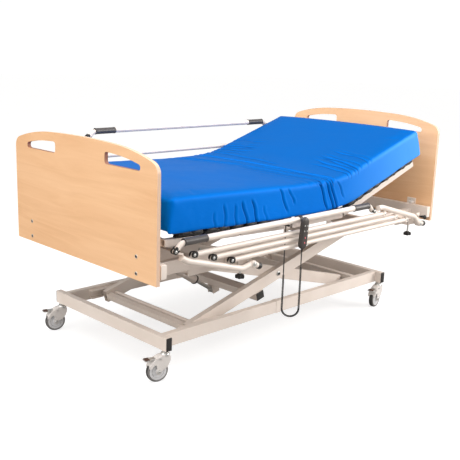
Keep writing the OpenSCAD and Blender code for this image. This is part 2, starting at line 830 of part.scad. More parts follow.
// The top handrail: a straight tube on two elbows, with a soft grip at each end.
module handrail(lean) {
    p = pivot_at(post_len, lean);
    grip_len = 128;
    color(cream) translate([p[0], -rail_y, p[1]]) {
        for (end = [0, 1]) translate([end * post_gap, 0, 0]) mirror([end, 0, 0]) {
            difference() {
                bent_bar([[-8, -3], [14, 6], [elbow[0] - 4, elbow[1] - 4], [elbow[0] + 10, elbow[1]]], bar_r);
                translate([-30, -slit / 2, -30]) cube([58, slit, 60]);
            }
            rod_y(-bar_r - 1, bar_r + 1, 0, 0, pivot_r);
        }
        rod_x(elbow[0] + 8, post_gap - elbow[0] - 8, 0, elbow[1], rail_r);
    }
    color(dark) translate([p[0], -rail_y, p[1] + elbow[1]])
        for (x = [elbow[0] + 8, post_gap - elbow[0] - 8 - grip_len])
            translate([x, 0, 0]) rotate([0, 90, 0]) difference() {
                cylinder(r = grip_r, h = grip_len);
                translate([0, 0, -1]) cylinder(r = rail_r + 0.1, h = grip_len + 2);
            }
}

module near_foot_post() { rail_post(true, fold_angle); }
module near_head_post() { rail_post(false, fold_angle); }
module near_handrail() { handrail(fold_angle); }
module near_rail_bar_2() { rail_bar(bar_steps[0], fold_angle); }
module near_rail_bar_3() { rail_bar(bar_steps[1], fold_angle); }
module near_rail_bar_4() { rail_bar(bar_steps[2], fold_angle); }
module far_foot_post() { mirror([0, 1, 0]) rail_post(true, raised_angle); }
module far_head_post() { mirror([0, 1, 0]) rail_post(false, raised_angle); }
module far_handrail() { mirror([0, 1, 0]) handrail(raised_angle); }
module far_rail_bar_2() { mirror([0, 1, 0]) rail_bar(bar_steps[0], raised_angle); }
module far_rail_bar_3() { mirror([0, 1, 0]) rail_bar(bar_steps[1], raised_angle); }
module far_rail_bar_4() { mirror([0, 1, 0]) rail_bar(bar_steps[2], raised_angle); }

latch_x = post_foot_x + post_gap + 30;
latch_z = post_z + 34;
latch_r = 5;
latch_y = 565;

// The bracket that clamps a post to the side beam: block, root pin and star knob.
module rail_clamp(x) {
    color(cream) difference() {
        translate([x - 66, -root_y, 486]) cube([90, root_y - side_y, 34]);
        translate([x - 60, -root_y + 6, 480]) cube([78, root_y - side_y - 6, 36]);
    }
    color(cream) translate([x - 66, -side_y - 4, 466]) cube([90, 4, 24]);
    color("silver") {
        rod_y(-rail_y - hub_half - 8, -root_y + 4, x, post_z, root_pin_r);
        rod_y(-rail_y - hub_half - 8, -rail_y - hub_half - 1, x, post_z, 11);
    }
    color(black) translate([x - 22, -root_y + 26, 0]) {
        translate([0, 0, 430]) cylinder(r = 5, h = 86);
        translate([0, 0, 418]) linear_extrude(18) union() {
            circle(r = 14);
            for (a = [0:72:288]) rotate(a) translate([16, 0]) circle(r = 6.5);
        }
    }
}

module rail_clamps() {
    both_sides() {
        for (x = [post_foot_x, post_foot_x + post_gap]) rail_clamp(x);
        // Plate that carries the latch, beside the head post's root
        color(cream) difference() {
            translate([latch_x - 12, -root_y, 486]) cube([34, 6, 60]);
            rod_y(-root_y - 1, -root_y + 7, latch_x, latch_z, latch_r + play);
        }
    }
}

// Spring plunger with a ball knob that locks the rail.
module latch() {
    color(black) {
        rod_y(-latch_y, -root_y + 12, latch_x, latch_z, latch_r);
        translate([latch_x, -latch_y, latch_z]) sphere(r = 12);
    }
}

module near_latch() { latch(); }
module far_latch() { mirror([0, 1, 0]) latch(); }

// ---------- handset ----------

handset_y = -582;
handset_top = 676;
handset_len = 156;
handset_wide = 52;
handset_deep = 24;
button_r = 4.5;
button_travel = 1.2;
button_out = 1.5;
rail_top = pivot_at(post_len, fold_angle)[1] + elbow[1];

// Draws in the handset's frame: its top middle at the origin, its face towards -Y.
module at_handset() {
    translate([handset_x, handset_y, handset_top]) rotate([0, handset_lean, 0]) children();
}

module handset_shape() {
    hull() {
        translate([0, 0, -handset_wide / 2]) rotate([90, 0, 0])
            cylinder(r = handset_wide / 2 - 2, h = handset_deep - 2, center = true, $fn = 32);
        translate([0, 0, handset_wide / 2 - handset_len]) rotate([90, 0, 0])
            cylinder(r = handset_wide / 2, h = handset_deep, center = true, $fn = 32);
    }
}

// Buttons in two columns of two, and a red pair in one column lower down.
button_places = [[-10, -42], [10, -42], [-10, -67], [10, -67], [0, -99], [0, -123]];

module handset() {
    color(dark) {
        at_handset() difference() {
            handset_shape();
            for (p = button_places)
                translate([p[0], -handset_deep / 2 - 1, p[1]]) rotate([-90, 0, 0])
                    cylinder(r = button_r + 0.3, h = 5);
        }
        // Hook over the handrail
        translate([handset_x - 9, 0, 0]) difference() {
            rod_x(0, 18, -rail_y, rail_top, rail_r + 6);
            rod_x(-1, 19, -rail_y, rail_top, rail_r + 0.5);
            translate([-1, -rail_y - 40, rail_top - 40]) cube([20, 80, 38]);
        }
        translate([handset_x - 9, -rail_y - rail_r - 14, rail_top - 14]) cube([18, 10, 14]);
    }
}

module button(i) {
    at_handset() translate([button_places[i][0], -handset_deep / 2 - button_out, button_places[i][1]])
        rotate([-90, 0, 0]) cylinder(r = button_r, h = button_out + 4 - button_travel - 0.3);
}

module handset_button_back_up() { color("lightgray") button(0); }
module handset_button_back_down() { color("lightgray") button(1); }
module handset_button_legs_up() { color("lightgray") button(2); }
module handset_button_legs_down() { color("lightgray") button(3); }
module handset_button_bed_up() { color("indianred") button(4); }
module handset_button_bed_down() { color("indianred") button(5); }

// Cable: down from the handset, round a hanging loop, and up behind the bars to a clip.
module handset_cable() {
    front = [handset_x - 10, handset_y, 528];
    back = [handset_x - 75, -527, 638];
    drop = 185;
    turns = 8;
    cable_r = 3.5;
    clip_h = 8;
    wide = [back[0] - front[0], back[1] - front[1]];
    loop = [for (i = [0:turns]) let (a = 180 * i / turns, t = (1 - cos(a)) / 2)
        [front[0] + wide[0] * t, front[1] + wide[1] * t, drop + 45 - 45 * sin(a)]];
    path = concat([front], loop, [back]);
    color(black) for (i = [0:len(path) - 2]) let (run = path[i + 1] - path[i])
        translate(path[i]) {
            if (i > 0) sphere(r = cable_r + 0.2, $fn = 24);
            rotate([0, acos(run[2] / norm(run)), atan2(run[1], run[0])])
                cylinder(r = cable_r, h = norm(run), $fn = 24);
        }
    // Clip under the handrail
    color(black) translate([back[0] - 6, -rail_y - 4, rail_top - rail_r - clip_h - play])
        cube([12, rail_y - 519, clip_h]);
}

base_frame();
base_end_caps();
castor_fork_foot_near();
castor_fork_foot_far();
castor_fork_head_near();
castor_fork_head_far();
castor_wheel_foot_near();
castor_wheel_foot_far();
castor_wheel_head_near();
castor_wheel_head_far();
castor_pedal_foot_near();
castor_pedal_foot_far();
castor_pedal_head_near();
castor_pedal_head_far();
lift_arms_outer();
lift_arms_inner();
lift_pivot_bolts();
lower_rollers();
upper_rollers();
upper_frame();
footboard();
headboard();
board_fixings();
seat_slats();
back_frame();
back_slats();
thigh_frame();
thigh_slats();
calf_frame();
calf_slats();
mattress_back();
mattress_seat();
mattress_thigh();
mattress_calf();
lift_motor();
lift_motor_rod();
section_drive();
near_foot_post();
near_head_post();
near_handrail();
near_rail_bar_2();
near_rail_bar_3();
near_rail_bar_4();
near_latch();
far_foot_post();
far_head_post();
far_handrail();
far_rail_bar_2();
far_rail_bar_3();
far_rail_bar_4();
far_latch();
rail_clamps();
handset();
handset_cable();
handset_button_back_up();
handset_button_back_down();
handset_button_legs_up();
handset_button_legs_down();
handset_button_bed_up();
handset_button_bed_down();
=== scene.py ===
"""Adjustable hospital bed: the visible surfaces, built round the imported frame. Metres, +X to the head end."""
import json
import math
import random

import bmesh
import bpy
import numpy as np
from mathutils import Matrix, Vector


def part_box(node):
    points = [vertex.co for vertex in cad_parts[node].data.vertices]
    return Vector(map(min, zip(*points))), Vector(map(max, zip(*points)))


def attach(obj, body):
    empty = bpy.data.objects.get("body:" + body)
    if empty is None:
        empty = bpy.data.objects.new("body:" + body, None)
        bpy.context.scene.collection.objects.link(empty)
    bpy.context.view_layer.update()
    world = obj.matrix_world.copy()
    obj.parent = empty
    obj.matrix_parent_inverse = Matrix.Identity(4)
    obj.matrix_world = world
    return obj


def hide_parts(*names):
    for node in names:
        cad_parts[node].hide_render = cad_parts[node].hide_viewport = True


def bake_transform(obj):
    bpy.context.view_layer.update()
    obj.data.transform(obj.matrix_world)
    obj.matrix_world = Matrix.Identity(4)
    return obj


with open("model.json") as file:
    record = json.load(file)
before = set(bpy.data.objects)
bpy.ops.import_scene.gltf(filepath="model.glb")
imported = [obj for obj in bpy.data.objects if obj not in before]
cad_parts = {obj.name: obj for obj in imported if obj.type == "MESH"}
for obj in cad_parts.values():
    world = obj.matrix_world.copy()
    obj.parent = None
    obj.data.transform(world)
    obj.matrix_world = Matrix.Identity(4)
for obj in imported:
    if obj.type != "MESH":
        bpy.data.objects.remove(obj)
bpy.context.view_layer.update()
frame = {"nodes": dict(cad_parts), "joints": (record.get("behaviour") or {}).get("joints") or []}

NODES = frame["nodes"]
JOINTS = {j["name"]: j for j in frame["joints"]}
SIDES = {"near": -1, "far": 1}
CASTORS = ("foot_near", "foot_far", "head_near", "head_far")
random.seed(7)


def place(joint):
    """A joint's point in the row frame."""
    return Vector(JOINTS[joint]["pos_m"])


# ---------------------------------------------------------------- materials

class Shader:
    """A small helper round one material's node tree."""

    def __init__(self, name):
        self.material = bpy.data.materials.new(name)
        self.material.use_nodes = True
        self.tree = self.material.node_tree
        self.bsdf = self.tree.nodes["Principled BSDF"]
        self.coords = self.node("ShaderNodeTexCoord").outputs["Object"]

    def node(self, kind, **values):
        made = self.tree.nodes.new(kind)
        for key, value in values.items():
            if key in made.inputs:
                made.inputs[key].default_value = value
            else:
                setattr(made, key, value)
        return made

    def link(self, a, b):
        self.tree.links.new(a, b)

    def scaled(self, scale):
        """Object coordinates stretched by scale, a number or a triple."""
        triple = scale if isinstance(scale, tuple) else (scale, scale, scale)
        mapping = self.node("ShaderNodeMapping")
        mapping.inputs["Scale"].default_value = triple
        self.link(self.coords, mapping.inputs["Vector"])
        return mapping.outputs["Vector"]

    def noise(self, scale, detail=3.0, rough=0.55, distortion=0.0):
        made = self.node("ShaderNodeTexNoise", Detail=detail, Roughness=rough, Distortion=distortion)
        made.inputs["Scale"].default_value = 1.0
        self.link(self.scaled(scale), made.inputs["Vector"])
        return made.outputs["Fac"]

    def ramp(self, source, stops):
        made = self.node("ShaderNodeValToRGB")
        band = made.color_ramp
        while len(band.elements) < len(stops):
            band.elements.new(0.5)
        for element, (at, colour) in zip(band.elements, stops):
            element.position = at
            element.color = (*colour, 1) if len(colour) == 3 else colour
        self.link(source, made.inputs["Fac"])
        return made.outputs["Color"]

    def level(self, source, low, high, out_low, out_high):
        made = self.node("ShaderNodeMapRange")
        for key, value in zip(("From Min", "From Max", "To Min", "To Max"), (low, high, out_low, out_high)):
            made.inputs[key].default_value = value
        self.link(source, made.inputs["Value"])
        return made.outputs["Result"]

    def math(self, operation, a, b):
        made = self.node("ShaderNodeMath", operation=operation)
        for slot, value in zip(made.inputs, (a, b)):
            if isinstance(value, (int, float)):
                slot.default_value = value
            else:
                self.link(value, slot)
        return made.outputs[0]

    def mix(self, factor, a, b, blend="MIX"):
        made = self.node("ShaderNodeMix", data_type="RGBA", blend_type=blend)
        for slot, value in ((made.inputs[0], factor), (made.inputs[6], a), (made.inputs[7], b)):
            if isinstance(value, (int, float)):
                slot.default_value = value
            elif isinstance(value, tuple):
                slot.default_value = (*value, 1)
            else:
                self.link(value, slot)
        return made.outputs[2]

    def bump(self, height, strength, distance, under=None):
        made = self.node("ShaderNodeBump", Strength=strength, Distance=distance)
        self.link(height, made.inputs["Height"])
        if under is not None:
            self.link(under, made.inputs["Normal"])
        return made.outputs["Normal"]

    def rounded(self, radius):
        """Normals of edges rounded to radius."""
        return self.node("ShaderNodeBevel", samples=6, Radius=radius).outputs["Normal"]

    def set(self, **values):
        for key, value in values.items():
            slot = self.bsdf.inputs[key.replace("_", " ")]
            if isinstance(value, (int, float)):
                slot.default_value = value
            elif isinstance(value, tuple):
                slot.default_value = (*value, 1) if slot.type == "RGBA" else value
            else:
                self.link(value, slot)
        return self.material


def paint(name, light, dark, edge=0.0015, gloss=0.34):
    """Powder coat: a little orange peel, faint clouding and soft edges."""
    s = Shader(name)
    cloud = s.noise(7, 4)
    fine = s.noise(420, 2)
    colour = s.mix(s.level(cloud, 0.35, 0.7, 0.0, 1.0), light, dark)
    normal = s.bump(fine, 0.12, 0.0004, s.rounded(edge))
    return s.set(Base_Color=colour, Roughness=s.level(fine, 0.3, 0.7, gloss, gloss + 0.1),
                 Normal=normal, Coat_Weight=0.15, Coat_Roughness=0.25, Specular_IOR_Level=0.45)


def metal(name, colour, rough=0.25, grain=(30, 900, 900), edge=0.0006):
    """Plated steel with fine drawing lines."""
    s = Shader(name)
    lines = s.noise(grain, 2)
    tone = s.mix(s.level(s.noise(22, 3), 0.3, 0.7, 0, 1), colour, tuple(c * 0.84 for c in colour))
    return s.set(Base_Color=tone, Metallic=1.0, Roughness=s.level(lines, 0.3, 0.7, rough, rough + 0.12),
                 Normal=s.bump(lines, 0.08, 0.0002, s.rounded(edge)))


def plastic(name, colour, rough=0.45, grain=700, bump=0.15, edge=0.0008, coat=0.0):
    """Moulded plastic with a fine spark-eroded grain."""
    s = Shader(name)
    fine = s.noise(grain, 2)
    tone = s.mix(s.level(s.noise(18, 3), 0.3, 0.7, 0, 1), colour, tuple(c * 0.8 for c in colour))
    return s.set(Base_Color=tone, Roughness=s.level(fine, 0.3, 0.7, rough - 0.05, rough + 0.08),
                 Normal=s.bump(fine, bump, 0.0003, s.rounded(edge)), Coat_Weight=coat, Coat_Roughness=0.1)


def laminate(name):
    """Beech laminate on the faces, darker lines beside the rounded edge band."""
    s = Shader(name)
    broad = s.noise((2.0, 1.1, 5.0), 3, 0.5, 0.6)
    flame = s.noise((6.0, 2.2, 26.0), 5, 0.6, 0.9)
    pores = s.noise((900, 60, 1500), 2)
    face = s.ramp(flame, [(0.25, (0.735, 0.415, 0.205)), (0.5, (0.80, 0.475, 0.25)), (0.75, (0.86, 0.54, 0.30))])
    face = s.mix(s.level(broad, 0.35, 0.65, 0.0, 0.45), face, (0.88, 0.565, 0.33))
    flecks = s.level(pores, 0.62, 0.75, 0.0, 0.22)
    face = s.mix(flecks, face, (0.50, 0.27, 0.12))
    normal = s.node("ShaderNodeNewGeometry").outputs["Normal"]
    split = s.node("ShaderNodeSeparateXYZ")
    s.link(normal, split.inputs[0])
    facing = s.math("ABSOLUTE", split.outputs["X"], 0)
    grain = s.noise((300, 300, 300), 3)
    band = s.ramp(facing, [(0.0, (0.74, 0.52, 0.38)), (0.62, (0.68, 0.44, 0.29)), (0.76, (0.20, 0.085, 0.04)),
                           (0.95, (0.26, 0.11, 0.05))])
    band = s.mix(s.level(grain, 0.4, 0.6, 0.0, 0.15), band, (0.50, 0.28, 0.15))
    # The rims of the two hand holds are darker and redder than the outer band
    place_of = s.node("ShaderNodeSeparateXYZ")
    s.link(s.coords, place_of.inputs[0])
    across = s.math("ABSOLUTE", place_of.outputs["Y"], 0)
    inner = s.math("MULTIPLY", s.level(across, 0.452, 0.458, 1.0, 0.0), s.level(place_of.outputs["Z"], 0.93, 0.94, 0, 1))
    arch = s.math("ADD", s.math("MULTIPLY", s.math("MULTIPLY", across, across), 0.1), place_of.outputs["Z"])
    peak = s.level(place_of.outputs["X"], -0.5, 0.5, 1.042 - 0.021, 1.094 - 0.021)
    inner = s.math("MULTIPLY", inner, s.math("LESS_THAN", arch, peak))
    band = s.mix(s.math("MULTIPLY", inner, 0.85), band, (0.27, 0.075, 0.03))
    colour = s.mix(s.level(facing, 0.966, 0.982, 0.0, 1.0), band, face)
    return s.set(Base_Color=colour, Roughness=s.level(flame, 0.3, 0.7, 0.36, 0.46),
                 Normal=s.bump(pores, 0.1, 0.0002), Coat_Weight=0.2, Coat_Roughness=0.3)


def slat_wood(name):
    s = Shader(name)
    grain = s.noise((160, 5, 160), 4, 0.6, 0.5)
    layers = s.noise((20, 20, 1400), 1)
    colour = s.ramp(grain, [(0.3, (0.55, 0.37, 0.19)), (0.5, (0.67, 0.48, 0.27)), (0.72, (0.76, 0.58, 0.36))])
    colour = s.mix(s.level(layers, 0.5, 0.6, 0.0, 0.15), colour, (0.40, 0.24, 0.11))
    return s.set(Base_Color=colour, Roughness=0.5, Normal=s.bump(grain, 0.2, 0.0004))


def cover_fabric(name):
    """Coated two-way stretch cover: strong blue, a fine knit under the coating, painted shade on the top and in the
    folds, and a painted highlight on the near side towards the head.
    """
    s = Shader(name)
    knit = s.node("ShaderNodeTexWave", wave_type="BANDS", bands_direction="DIAGONAL")
    knit.inputs["Scale"].default_value = 1.0
    knit.inputs["Distortion"].default_value = 1.5
    s.link(s.scaled(520), knit.inputs["Vector"])
    cloud = s.noise(3.5, 4)
    slack = s.noise((9, 5, 26), 4, 0.55, 1.2)
    colour = s.mix(s.level(cloud, 0.35, 0.65, 0, 1), (0.000, 0.150, 0.610), (0.000, 0.168, 0.680))
    # Painted shade: faces turned upwards are mixed towards a darker navy.
    split = s.node("ShaderNodeSeparateXYZ")
    s.link(s.node("ShaderNodeNewGeometry").outputs["Normal"], split.inputs[0])
    colour = s.mix(s.level(split.outputs["Z"], 0.5, 0.95, 0.0, 0.75), colour, (0.000, 0.076, 0.285))
    # Painted highlight: faces turned to -Y are lightened towards the head end.
    lengthwise = s.node("ShaderNodeSeparateXYZ")
    s.link(s.coords, lengthwise.inputs[0])
    lit = s.math("MULTIPLY", s.level(lengthwise.outputs["X"], 0.1, 0.9, 0.0, 0.7), s.level(split.outputs["Y"], -0.9, -0.5, 1.0, 0.0))
    colour = s.mix(lit, colour, (0.100, 0.380, 0.960))
    # Painted shade: the folds and wrinkles are darkened by the fold attribute.
    fold = s.node("ShaderNodeAttribute", attribute_name="fold").outputs["Fac"]
    colour = s.mix(s.level(fold, 0.08, 0.9, 0.0, 0.85), colour, (0.000, 0.018, 0.110))
    weave = s.bump(knit.outputs["Fac"], 0.05, 0.0002)
    normal = s.bump(slack, 0.16, 0.006, weave)
    return s.set(Base_Color=colour, Roughness=s.level(cloud, 0.3, 0.7, 0.42, 0.5), Normal=normal,
                 Specular_IOR_Level=0.05, Specular_Tint=(0.35, 0.65, 1.0))


CREAM = paint("cream_powder_coat", (0.82, 0.73, 0.66), (0.77, 0.675, 0.60))
ZINC = metal("bright_zinc", (0.72, 0.72, 0.70))
CASTOR_STEEL = paint("castor_zinc", (0.74, 0.70, 0.67), (0.67, 0.63, 0.60), 0.0012, 0.22)
BEECH = laminate("beech_laminate")
SLAT = slat_wood("beech_ply")
BLUE = cover_fabric("blue_cover")
BLACK = plastic("black_moulding", (0.018, 0.017, 0.016), 0.38)
RUBBER = plastic("holder_rubber", (0.022, 0.022, 0.023), 0.5, 500, 0.25)
GREY = plastic("grip_grey", (0.075, 0.068, 0.066), 0.36, 650)
TYRE = plastic("tyre_grey", (0.20, 0.19, 0.185), 0.5, 600, 0.2)
TREAD = plastic("tyre_tread", (0.035, 0.033, 0.032), 0.55, 600, 0.3)
PAD = plastic("pad_brown", (0.105, 0.050, 0.032), 0.5, 600, 0.3)
DARK_STEEL = metal("dark_screw", (0.12, 0.10, 0.09), 0.35)
HUB = plastic("hub_grey", (0.74, 0.74, 0.75), 0.4, 500, 0.1)
HANDSET = plastic("handset_grey", (0.045, 0.038, 0.034), 0.42, 800, 0.25)
KEY_LIGHT = plastic("key_light", (0.55, 0.53, 0.50), 0.4, 500, 0.05)
KEY_RED = plastic("key_red", (0.80, 0.16, 0.18), 0.35, 500, 0.05)
PALE = plastic("pale_ring", (0.82, 0.80, 0.77), 0.3, 500, 0.05, coat=0.3)
MOTOR = plastic("motor_housing", (0.60, 0.56, 0.50), 0.45, 500, 0.2, 0.002)


# ---------------------------------------------------------------- mesh helpers

def mesh_object(name, verts, faces, material, smooth=True):
    mesh = bpy.data.meshes.new(name)
    mesh.from_pydata([tuple(v) for v in verts], [], faces)
    mesh.validate()
    mesh.update()
    if smooth:
        mesh.polygons.foreach_set("use_smooth", [True] * len(mesh.polygons))
    made = bpy.data.objects.new(name, mesh)
    bpy.context.scene.collection.objects.link(made)
    mesh.materials.append(material)
    return made


def tidy_normals(made):
    bm = bmesh.new()
    bm.from_mesh(made.data)
    bmesh.ops.recalc_face_normals(bm, faces=bm.faces)
    bm.to_mesh(made.data)
    bm.free()
    return made


def smooth_by_angle(made, degrees=35):
    """Marks sharp the edges that turn more than this."""
    bm = bmesh.new()
    bm.from_mesh(made.data)
    for edge in bm.edges:
        turned = len(edge.link_faces) != 2 or edge.calc_face_angle(0) > math.radians(degrees)
        edge.smooth = not turned
    bm.to_mesh(made.data)
    bm.free()
    made.data.polygons.foreach_set("use_smooth", [True] * len(made.data.polygons))
    return made


def bevelled(made, width, segments=3, degrees=35):
    made.modifiers.new("edges", "BEVEL")
    edge = made.modifiers["edges"]
    edge.width = width
    edge.segments = segments
    edge.limit_method = "ANGLE"
    edge.angle_limit = math.radians(degrees)
    edge.use_clamp_overlap = False
    edge.harden_normals = False
    return made


def apply_modifiers(made):
    """Bakes the modifiers into the mesh."""
    graph = bpy.context.evaluated_depsgraph_get()
    mesh = bpy.data.meshes.new_from_object(made.evaluated_get(graph))
    made.modifiers.clear()
    made.data = mesh
    return made


def finish(made, body, slot, *instead_of):
    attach(made, body)
    if instead_of:
        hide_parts(*instead_of)
    return made


def lathe(profile, axis, centre, segments=40):
    """Vertices and faces of a profile of (radius, height) turned round an axis through centre."""
    turn = Vector((0, 0, 1)).rotation_difference(Vector(axis)).to_matrix()
    verts = []
    for k in range(segments):
        a = 2 * math.pi * k / segments
        for r, h in profile:
            verts.append(Vector(centre) + turn @ Vector((r * math.cos(a), r * math.sin(a), h)))
    n = len(profile)
    faces = []
    for k in range(segments):
        after = (k + 1) % segments
        for i in range(n - 1):
            faces.append((k * n + i, after * n + i, after * n + i + 1, k * n + i + 1))
    for end in (0, n - 1):
        if profile[end][0] > 1e-6:
            faces.append(tuple(k * n + end for k in range(segments)))
    return verts, faces


def joined(name, parts, material, angle=35):
    """One mesh from several (vertices, faces) parts, sharp where it turns by more than angle."""
    verts, faces = [], []
    for some_verts, some_faces in parts:
        shift = len(verts)
        verts += list(some_verts)
        faces += [tuple(i + shift for i in f) for f in some_faces]
    made = mesh_object(name, verts, faces, material)
    bm = bmesh.new()
    bm.from_mesh(made.data)
    bmesh.ops.remove_doubles(bm, verts=bm.verts, dist=1e-7)
    bmesh.ops.recalc_face_normals(bm, faces=bm.faces)
    bm.to_mesh(made.data)
    bm.free()
    return smooth_by_angle(made, angle)


def rounded_profile(radius, height, edge, base=0.0, steps=4):
    """Profile of a disc from height base to base + height with rounded rims."""
    edge = min(edge, radius * 0.95, height * 0.48)
    points = [(0, base)]
    for i in range(steps + 1):
        a = math.pi / 2 * i / steps
        points.append((radius - edge + edge * math.sin(a), base + edge - edge * math.cos(a)))
    for i in range(steps + 1):
        a = math.pi / 2 * i / steps
        points.append((radius - edge + edge * math.cos(a), base + height - edge + edge * math.sin(a)))
    points.append((0, base + height))
    return points


def sweep(path, radius, segments=20, closed_ends=True):
    """A round tube along a list of points. radius is a number or one number per point."""
    points = [Vector(p) for p in path]
    radii = radius if isinstance(radius, list) else [radius] * len(points)
    tangents = []
    for i in range(len(points)):
        a, b = points[max(i - 1, 0)], points[min(i + 1, len(points) - 1)]
        tangents.append((b - a).normalized())
    side = tangents[0].orthogonal().normalized()
    verts, faces = [], []
    for i, (p, t) in enumerate(zip(points, tangents)):
        side = (side - t * side.dot(t)).normalized()
        up = t.cross(side)
        for k in range(segments):
            a = 2 * math.pi * k / segments
            verts.append(p + (side * math.cos(a) + up * math.sin(a)) * radii[i])
        if i:
            for k in range(segments):
                after = (k + 1) % segments
                faces.append(((i - 1) * segments + k, (i - 1) * segments + after,
                              i * segments + after, i * segments + k))
    if closed_ends:
        faces.append(tuple(range(segments)))
        faces.append(tuple(range(len(verts) - segments, len(verts))))
    return verts, faces


def filleted(points, radius, steps=8):
    """A path of straight runs through points, with arcs of about this radius at its bends."""
    points = [Vector(p) for p in points]
    path = [points[0]]
    for before, here, after in zip(points, points[1:], points[2:]):
        a, b = (before - here), (after - here)
        turn = math.pi - a.angle(b)
        reach = min(radius * math.tan(turn / 2), a.length * 0.49, b.length * 0.49)
        start, end = here + a.normalized() * reach, here + b.normalized() * reach
        for i in range(steps + 1):
            t = i / steps
            path.append(start * (1 - t) ** 2 + here * 2 * t * (1 - t) + end * t * t)
    path.append(points[-1])
    return path


def plate(outline, thickness, origin, across, up, normal):
    """A flat plate: outline in (across, up) coordinates, thickness centred on origin along normal."""
    verts, faces = [], []
    n = len(outline)
    for side in (-0.5, 0.5):
        for u, w in outline:
            verts.append(Vector(origin) + Vector(across) * u + Vector(up) * w + Vector(normal) * thickness * side)
    faces.append(tuple(range(n)))
    faces.append(tuple(range(n, 2 * n)))
    faces += [(i, (i + 1) % n, n + (i + 1) % n, n + i) for i in range(n)]
    return verts, faces


def arc(cx, cy, radius, start, end, steps=8):
    return [(cx + radius * math.cos(math.radians(start + (end - start) * i / steps)),
             cy + radius * math.sin(math.radians(start + (end - start) * i / steps))) for i in range(steps + 1)]


def rounded_box(size, radius, centre, turn=None, steps=3):
    """A box with rounded edges as (vertices, faces)."""
    half = [s / 2 for s in size]
    radius = min(radius, *[h * 0.98 for h in half])
    grid = []
    for h in half:
        inner = h - radius
        curve = [h - radius + radius * math.sin(math.pi / 2 * i / steps) for i in range(steps + 1)]
        grid.append([-c for c in reversed(curve)] + ([] if inner < 1e-9 else []) + curve)
    turn = turn or Matrix.Identity(3)
    verts, index, faces = [], {}, []

    def vertex(p):
        key = tuple(round(c, 7) for c in p)
        if key not in index:
            core = Vector([max(-h + radius, min(h - radius, c)) for c, h in zip(p, half)])
            out = Vector(p) - core
            place_at = core + (out.normalized() * radius if out.length > 1e-9 else out)
            index[key] = len(verts)
            verts.append(Vector(centre) + turn @ place_at)
        return index[key]

    for axis in range(3):
        u, w = (axis + 1) % 3, (axis + 2) % 3
        for sign in (-1, 1):
            for i in range(len(grid[u]) - 1):
                for j in range(len(grid[w]) - 1):
                    corners = []
                    for du, dw in ((0, 0), (1, 0), (1, 1), (0, 1)):
                        p = [0, 0, 0]
                        p[axis] = sign * half[axis]
                        p[u] = grid[u][i + du]
                        p[w] = grid[w][j + dw]
                        corners.append(vertex(p))
                    if len(set(corners)) > 2:
                        faces.append(tuple(dict.fromkeys(corners)))
    return verts, faces


def hexagon(across_flats, height, centre, axis):
    """A bolt head with its corners chamfered."""
    r = across_flats / math.sqrt(3)
    verts, faces = lathe([(r * 0.9, 0), (r, height * 0.15), (r, height * 0.82), (r * 0.86, height)], axis, centre, 6)
    return verts, faces


# ---------------------------------------------------------------- mattress

BACK = math.radians(18.5)
LEGS = math.radians(2.2)
MATTRESS_T = 0.145
MATTRESS_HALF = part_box("mattress_seat")[1].y
BASE_GAP = 0.053
BACK_HINGE = place("backrest_tilt")
THIGH_HINGE = place("bed_knee_lift")
KNEE_HINGE = place("knee_bend")
LEG_LEN = (KNEE_HINGE - THIGH_HINGE).length + 0.472
BACK_LEN = 0.725
SEAT_MID = (THIGH_HINGE.x + BACK_HINGE.x) / 2
CELL = 0.009


def mattress_path():
    """The underside's line from foot to head, as a dense list of (x, z)."""
    def above(hinge, angle, along):
        return Vector((hinge.x + math.cos(angle) * along - math.sin(angle) * BASE_GAP,
                       hinge.z + math.sin(angle) * along + math.cos(angle) * BASE_GAP))
    foot = above(THIGH_HINGE, -LEGS, -LEG_LEN)
    head = above(BACK_HINGE, BACK, BACK_LEN)
    seat_z = BACK_HINGE.z + BASE_GAP
    back_run = above(BACK_HINGE, BACK, 0)
    hip = Vector((back_run.x + (seat_z - back_run.y) / math.tan(BACK), seat_z))
    bend = Vector((THIGH_HINGE.x, seat_z))
    points = [foot, bend, hip, head]
    path = [points[0]]
    for before, here, after, reach in ((foot, bend, hip, 0.06), (bend, hip, head, 0.15)):
        start = here + (before - here).normalized() * reach
        end = here + (after - here).normalized() * reach
        for i in range(25):
            t = i / 24
            path.append(start * (1 - t) ** 2 + here * 2 * t * (1 - t) + end * t * t)
    path.append(head)
    return path


